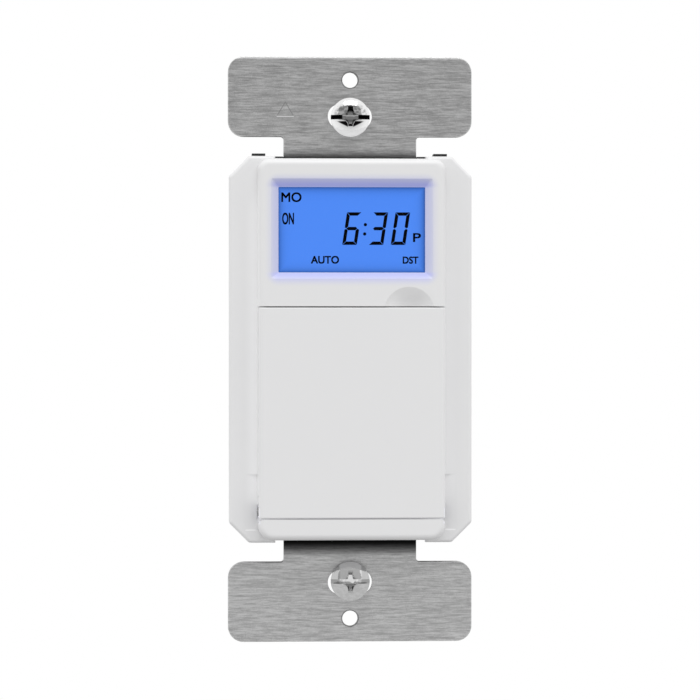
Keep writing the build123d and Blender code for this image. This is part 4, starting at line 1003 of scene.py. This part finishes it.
def word_mesh(text, left, right, low, high):
    """A word fitted into a rectangle on the display's face."""
    curve = bpy.data.curves.new("word", "FONT")
    curve.body = text
    curve.resolution_u = WORD_CURVE_STEPS
    holder = put("word", curve)
    mesh = evaluated_mesh(holder)
    bpy.data.objects.remove(holder)
    bpy.data.curves.remove(curve)
    xs = [v.co.x for v in mesh.vertices]
    ys = [v.co.y for v in mesh.vertices]
    wide = (right - left) / (max(xs) - min(xs))
    tall = (high - low) / (max(ys) - min(ys))
    for vertex in mesh.vertices:
        x = left + (vertex.co.x - min(xs)) * wide
        z = low + (vertex.co.y - min(ys)) * tall
        vertex.co = display_point(x, z, INK_THICKNESS)
    return mesh


def bold_word(text, left, right, low, high):
    """A word made heavier by copies a little aside of each other."""
    left, right = left + WORD_WEIGHT, right - WORD_WEIGHT
    low, high = low + WORD_WEIGHT, high - WORD_WEIGHT
    copies = []
    for aside, above in ((-1, -1), (1, -1), (-1, 1), (1, 1)):
        dx, dz = aside * WORD_WEIGHT, above * WORD_WEIGHT
        copies.append(word_mesh(text, left + dx, right + dx, low + dz, high + dz))
    return joined(copies)


def lathe(profile, steps):
    """A closed solid turned about Z from its radius and height points, bottom first."""
    shape = bmesh.new()
    rings = []
    for radius, height in profile:
        if radius == 0:
            rings.append([shape.verts.new((0, 0, height))] * steps)
            continue
        places = [(radius * math.cos(a), radius * math.sin(a), height) for a in circle(steps)]
        rings.append([shape.verts.new(place) for place in places])
    for low, high in zip(rings, rings[1:]):
        for i in range(steps):
            corners = [low[i - 1], low[i], high[i], high[i - 1]]
            shape.faces.new(list(dict.fromkeys(corners)))
    return mesh_of(shape)


def thread(root, crest, pitch, start, end, steps):
    """Helical thread about Z between two heights. Its spare turns lie flat on both ends."""
    shape = bmesh.new()
    turns = int((end - start) / pitch) + THREAD_SPARE_TURNS
    rows = []
    for i in range(steps + 1):
        share = i / steps
        angle = 2 * math.pi * share
        row = []
        for k in range(2 * turns):
            height = start + (k / 2 - 1 + share) * pitch
            inside = min(max(height, start), end)
            radius = crest if k % 2 and inside == height else root
            place = (radius * math.cos(angle), radius * math.sin(angle), inside)
            row.append(shape.verts.new(place))
        rows.append(row)
    for low, high in zip(rows, rows[1:]):
        for k in range(2 * turns - 1):
            shape.faces.new((low[k], high[k], high[k + 1], low[k + 1]))
    bmesh.ops.remove_doubles(shape, verts=shape.verts, dist=MERGE_DISTANCE)
    return mesh_of(shape)


def cutter(outline, top, bottom, shrink=1.0):
    """A solid about Z between two heights, its outline shrunk at the bottom."""
    shape = bmesh.new()
    low = [(x * shrink, y * shrink, bottom) for x, y in outline]
    add_prism(shape, low, [(x, y, top) for x, y in outline])
    return mesh_of(shape)


def cut(mesh, cutters, edge):
    """A mesh with cutters taken away and its sharp edges eased."""
    holder = put("holder", mesh)
    tools = [put("cutter", data) for data in cutters]
    for tool in tools:
        change = holder.modifiers.new("cut", "BOOLEAN")
        change.operation = "DIFFERENCE"
        change.solver = "EXACT"
        change.object = tool
    ease = holder.modifiers.new("ease", "BEVEL")
    ease.width = edge
    ease.segments = 2
    ease.limit_method = "ANGLE"
    ease.angle_limit = math.radians(EASED_DEGREES)
    made = evaluated_mesh(holder)
    for item in [holder, *tools]:
        data = item.data
        bpy.data.objects.remove(item)
        bpy.data.meshes.remove(data)
    return made


def pan_profile(radius, height, slope_degrees, steps=14):
    """Radius and height points of a domed head, whose dome meets its rim at a slope."""
    steep = math.radians(slope_degrees)
    ball = radius / math.sin(steep)
    points = [(0.0, 0.0), (radius, 0.0)]
    for i in range(steps):
        angle = steep * (1 - i / steps)
        points.append((ball * math.sin(angle), height - ball * (1 - math.cos(angle))))
    return points + [(0.0, height)]


def star_outline():
    """Outline of the four-pointed recess, whose sides are hollow."""
    quarter = [(x * MM, y * MM) for x, y in STAR_QUARTER_MM]
    outline = quarter + [(x, -y) for x, y in reversed(quarter)]
    outline += [(-x, -y) for x, y in quarter]
    return outline + [(-x, y) for x, y in reversed(quarter)]


def screw_head():
    """Domed head about Z with a slot along X and a star recess."""
    profile = pan_profile(SCREW_HEAD_RADIUS, SCREW_HEAD_HEIGHT, SCREW_HEAD_SLOPE_DEGREES)
    half_x, half_y = 2 * SCREW_HEAD_RADIUS, SCREW_SLOT_WIDTH / 2
    slot = [(sx * half_x, sy * half_y) for sx, sy in ((1, 1), (-1, 1), (-1, -1), (1, -1))]
    top = SCREW_HEAD_HEIGHT + CUT_OVERRUN
    cutters = [
        cutter(slot, top, SCREW_HEAD_HEIGHT - SCREW_SLOT_DEPTH),
        cutter(star_outline(), top, SCREW_HEAD_HEIGHT - SCREW_RECESS_DEPTH, STAR_SHRINK),
    ]
    return cut(lathe(profile, HEAD_CORNERS), cutters, SCREW_EDGE)


def screw_shank(length):
    """The neck, the thread and the tip of a device screw, below its head."""
    neck = [(0, -NECK_END), (NECK_RADIUS, -NECK_END), (NECK_RADIUS, NECK_BITE), (0, NECK_BITE)]
    tip_top = TIP_LENGTH - length
    tip = [(0, -length), (TIP_RADIUS, -length), (THREAD_ROOT, tip_top), (0, tip_top)]
    ends = (THREAD_SPARE - length, -THREAD_START)
    screw = thread(THREAD_ROOT, THREAD_CREST, THREAD_PITCH, *ends, SHANK_CORNERS)
    return [lathe(neck, SHANK_CORNERS), screw, lathe(tip, SHANK_CORNERS)]


def device_screws(finish):
    """The two screws of the mounting strap, threaded behind it."""
    low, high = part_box("mounting_screws")
    seat = low.y + SCREW_HEAD_HEIGHT
    meshes = []
    for z in (high.z - SCREW_HEAD_RADIUS, low.z + SCREW_HEAD_RADIUS):
        to_place = Matrix.Translation(Vector((0, seat, z))) @ TO_FRONT
        for mesh in (screw_head(), *screw_shank(high.y - seat)):
            mesh.transform(to_place)
            meshes.append(mesh)
    screws = piece("device_screws", joined(meshes), finish, "frame")
    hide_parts("mounting_screws")


def dress(finishes):
    """Gives each CAD node its finish."""
    for name, item in NODES.items():
        material = finishes[SLOT_OF[name]].material
        if item.material_slots:
            for holder in item.material_slots:
                holder.material = material
        else:
            item.data.materials.append(material)


def display_marks():
    """Segments and words on the display."""
    ink = Finish("display_ink", INK, INK_ROUGHNESS[0])
    ink.give("Specular IOR Level", 0.0)
    ink.give("Roughness", ink.fade(ink.grain(INK_GRAIN), *SOFT_NOISE, *INK_ROUGHNESS))
    piece("display_digits", display_digits(), ink, "frame")
    words = joined([bold_word(text, *place) for text, place in WORDS.items()])
    piece("display_words", words, ink, "frame")


def backdrop_factor(nodes, links):
    """One for camera, glossy and transmitted rays, nought for light that falls on the object."""
    rays = nodes.new("ShaderNodeLightPath")
    total = rays.outputs["Is Camera Ray"]
    for name in ("Is Glossy Ray", "Is Transmission Ray"):
        node = nodes.new("ShaderNodeMath")
        node.operation = "MAXIMUM"
        links.new(total, node.inputs[0])
        links.new(rays.outputs[name], node.inputs[1])
        total = node.outputs[0]
    return total


def make_world():
    """Pale surroundings: white as a backdrop, and as light brighter above than below."""
    world = bpy.data.worlds.new("studio")
    bpy.context.scene.world = world
    world.use_nodes = True
    nodes, links = world.node_tree.nodes, world.node_tree.links
    shine = nodes["Background"]
    place = nodes.new("ShaderNodeTexCoord")
    split = nodes.new("ShaderNodeSeparateXYZ")
    links.new(place.outputs["Generated"], split.inputs[0])
    level = nodes.new("ShaderNodeMapRange")
    links.new(split.outputs["Z"], level.inputs["Value"])
    level.inputs["From Min"].default_value = -1.0
    level.inputs["To Min"].default_value = WORLD_LEVEL - WORLD_RISE
    level.inputs["To Max"].default_value = WORLD_LEVEL + WORLD_RISE
    pick = nodes.new("ShaderNodeMix")
    links.new(backdrop_factor(nodes, links), pick.inputs["Factor"])
    links.new(level.outputs[0], pick.inputs["A"])
    pick.inputs["B"].default_value = 1.0
    links.new(pick.outputs["Result"], shine.inputs["Strength"])
    shine.inputs["Color"].default_value = (*WHITE, 1.0)


def make_floor():
    """Pale floor a little below the object: it keeps the soft shadow and is white further off."""
    half = FLOOR_SIZE / 2
    height = cad_box[0].z - FLOOR_DROP
    corners = [(x * half, y * half, height) for x, y in ((-1, -1), (1, -1), (1, 1), (-1, 1))]
    mesh = bpy.data.meshes.new("floor")
    mesh.from_pydata(corners, [], [(0, 1, 2, 3)])
    floor = put("floor", mesh)
    floor.visible_diffuse = False
    paint = Finish("floor_white", (FLOOR_GREY,) * 3, FLOOR_ROUGHNESS)
    x, y, _ = paint.along()
    far = paint.fade(paint.length(x, y), SHADOW_REACH, SHADOW_END)
    rays = paint.nodes.new("ShaderNodeLightPath")
    other = paint.highest(rays.outputs["Is Glossy Ray"], rays.outputs["Is Transmission Ray"])
    glow = paint.nodes.new("ShaderNodeEmission")
    both = paint.nodes.new("ShaderNodeMixShader")
    sources = (paint.highest(far, other), paint.shader.outputs[0], glow.outputs[0])
    for socket, source in zip(both.inputs, sources):
        paint.plug(socket, source)
    paint.plug(paint.nodes["Material Output"].inputs["Surface"], both.outputs[0])
    mesh.materials.append(paint.material)


def make_softbox():
    """Large soft lamp above and before the object."""
    data = bpy.data.lights.new("softbox", "AREA")
    data.shape = "RECTANGLE"
    data.size, data.size_y = SOFTBOX_SIZE
    data.energy = SOFTBOX_WATTS
    lamp = put("softbox", data)
    lamp.location = SOFTBOX_PLACE
    turned(lamp, -Vector(SOFTBOX_PLACE))


def make_card():
    """Grey card before the object, seen by gloss alone."""
    foot = cad_box[0].z - FLOOR_DROP
    half = CARD_WIDTH / 2
    corners = [(x, -CARD_DISTANCE, z) for z in (foot, CARD_TOP) for x in (-half, half)]
    mesh = bpy.data.meshes.new("card")
    mesh.from_pydata(corners, [], [(0, 1, 3, 2)])
    card = put("card", mesh)
    for name in ("camera", "diffuse", "shadow", "transmission", "volume_scatter"):
        setattr(card, "visible_" + name, False)
    paint = Finish("card_grey", BLACK, 1.0)
    paint.give("Emission Color", WHITE)
    paint.give("Emission Strength", CARD_GREY)
    mesh.materials.append(paint.material)


def make_camera():
    """Long lens a little left of square and a little above."""
    data = bpy.data.cameras.new("camera")
    data.sensor_width = SENSOR_WIDTH_MM
    data.lens = PIXELS_PER_MM * (CAMERA_DISTANCE / MM) * SENSOR_WIDTH_MM / PICTURE_PIXELS
    camera = put("camera", data)
    bpy.context.scene.camera = camera
    turn, rise = math.radians(-CAMERA_LEFT_DEGREES), math.radians(CAMERA_UP_DEGREES)
    level = math.cos(rise)
    back = Vector((math.sin(turn) * level, -math.cos(turn) * level, math.sin(rise)))
    strap_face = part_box("mounting_strap")[0].y
    camera.location = Vector((AIM_X, strap_face, AIM_Z)) + back * CAMERA_DISTANCE
    turned(camera, -back)


def main():
    """Dresses the frame and lights it."""
    bpy.context.scene.view_settings.view_transform = "Standard"
    finishes = make_finishes()
    dress(finishes)
    device_screws(finishes["plated_screw"])
    display_marks()
    make_world()
    make_floor()
    make_softbox()
    make_card()
    make_camera()


main()
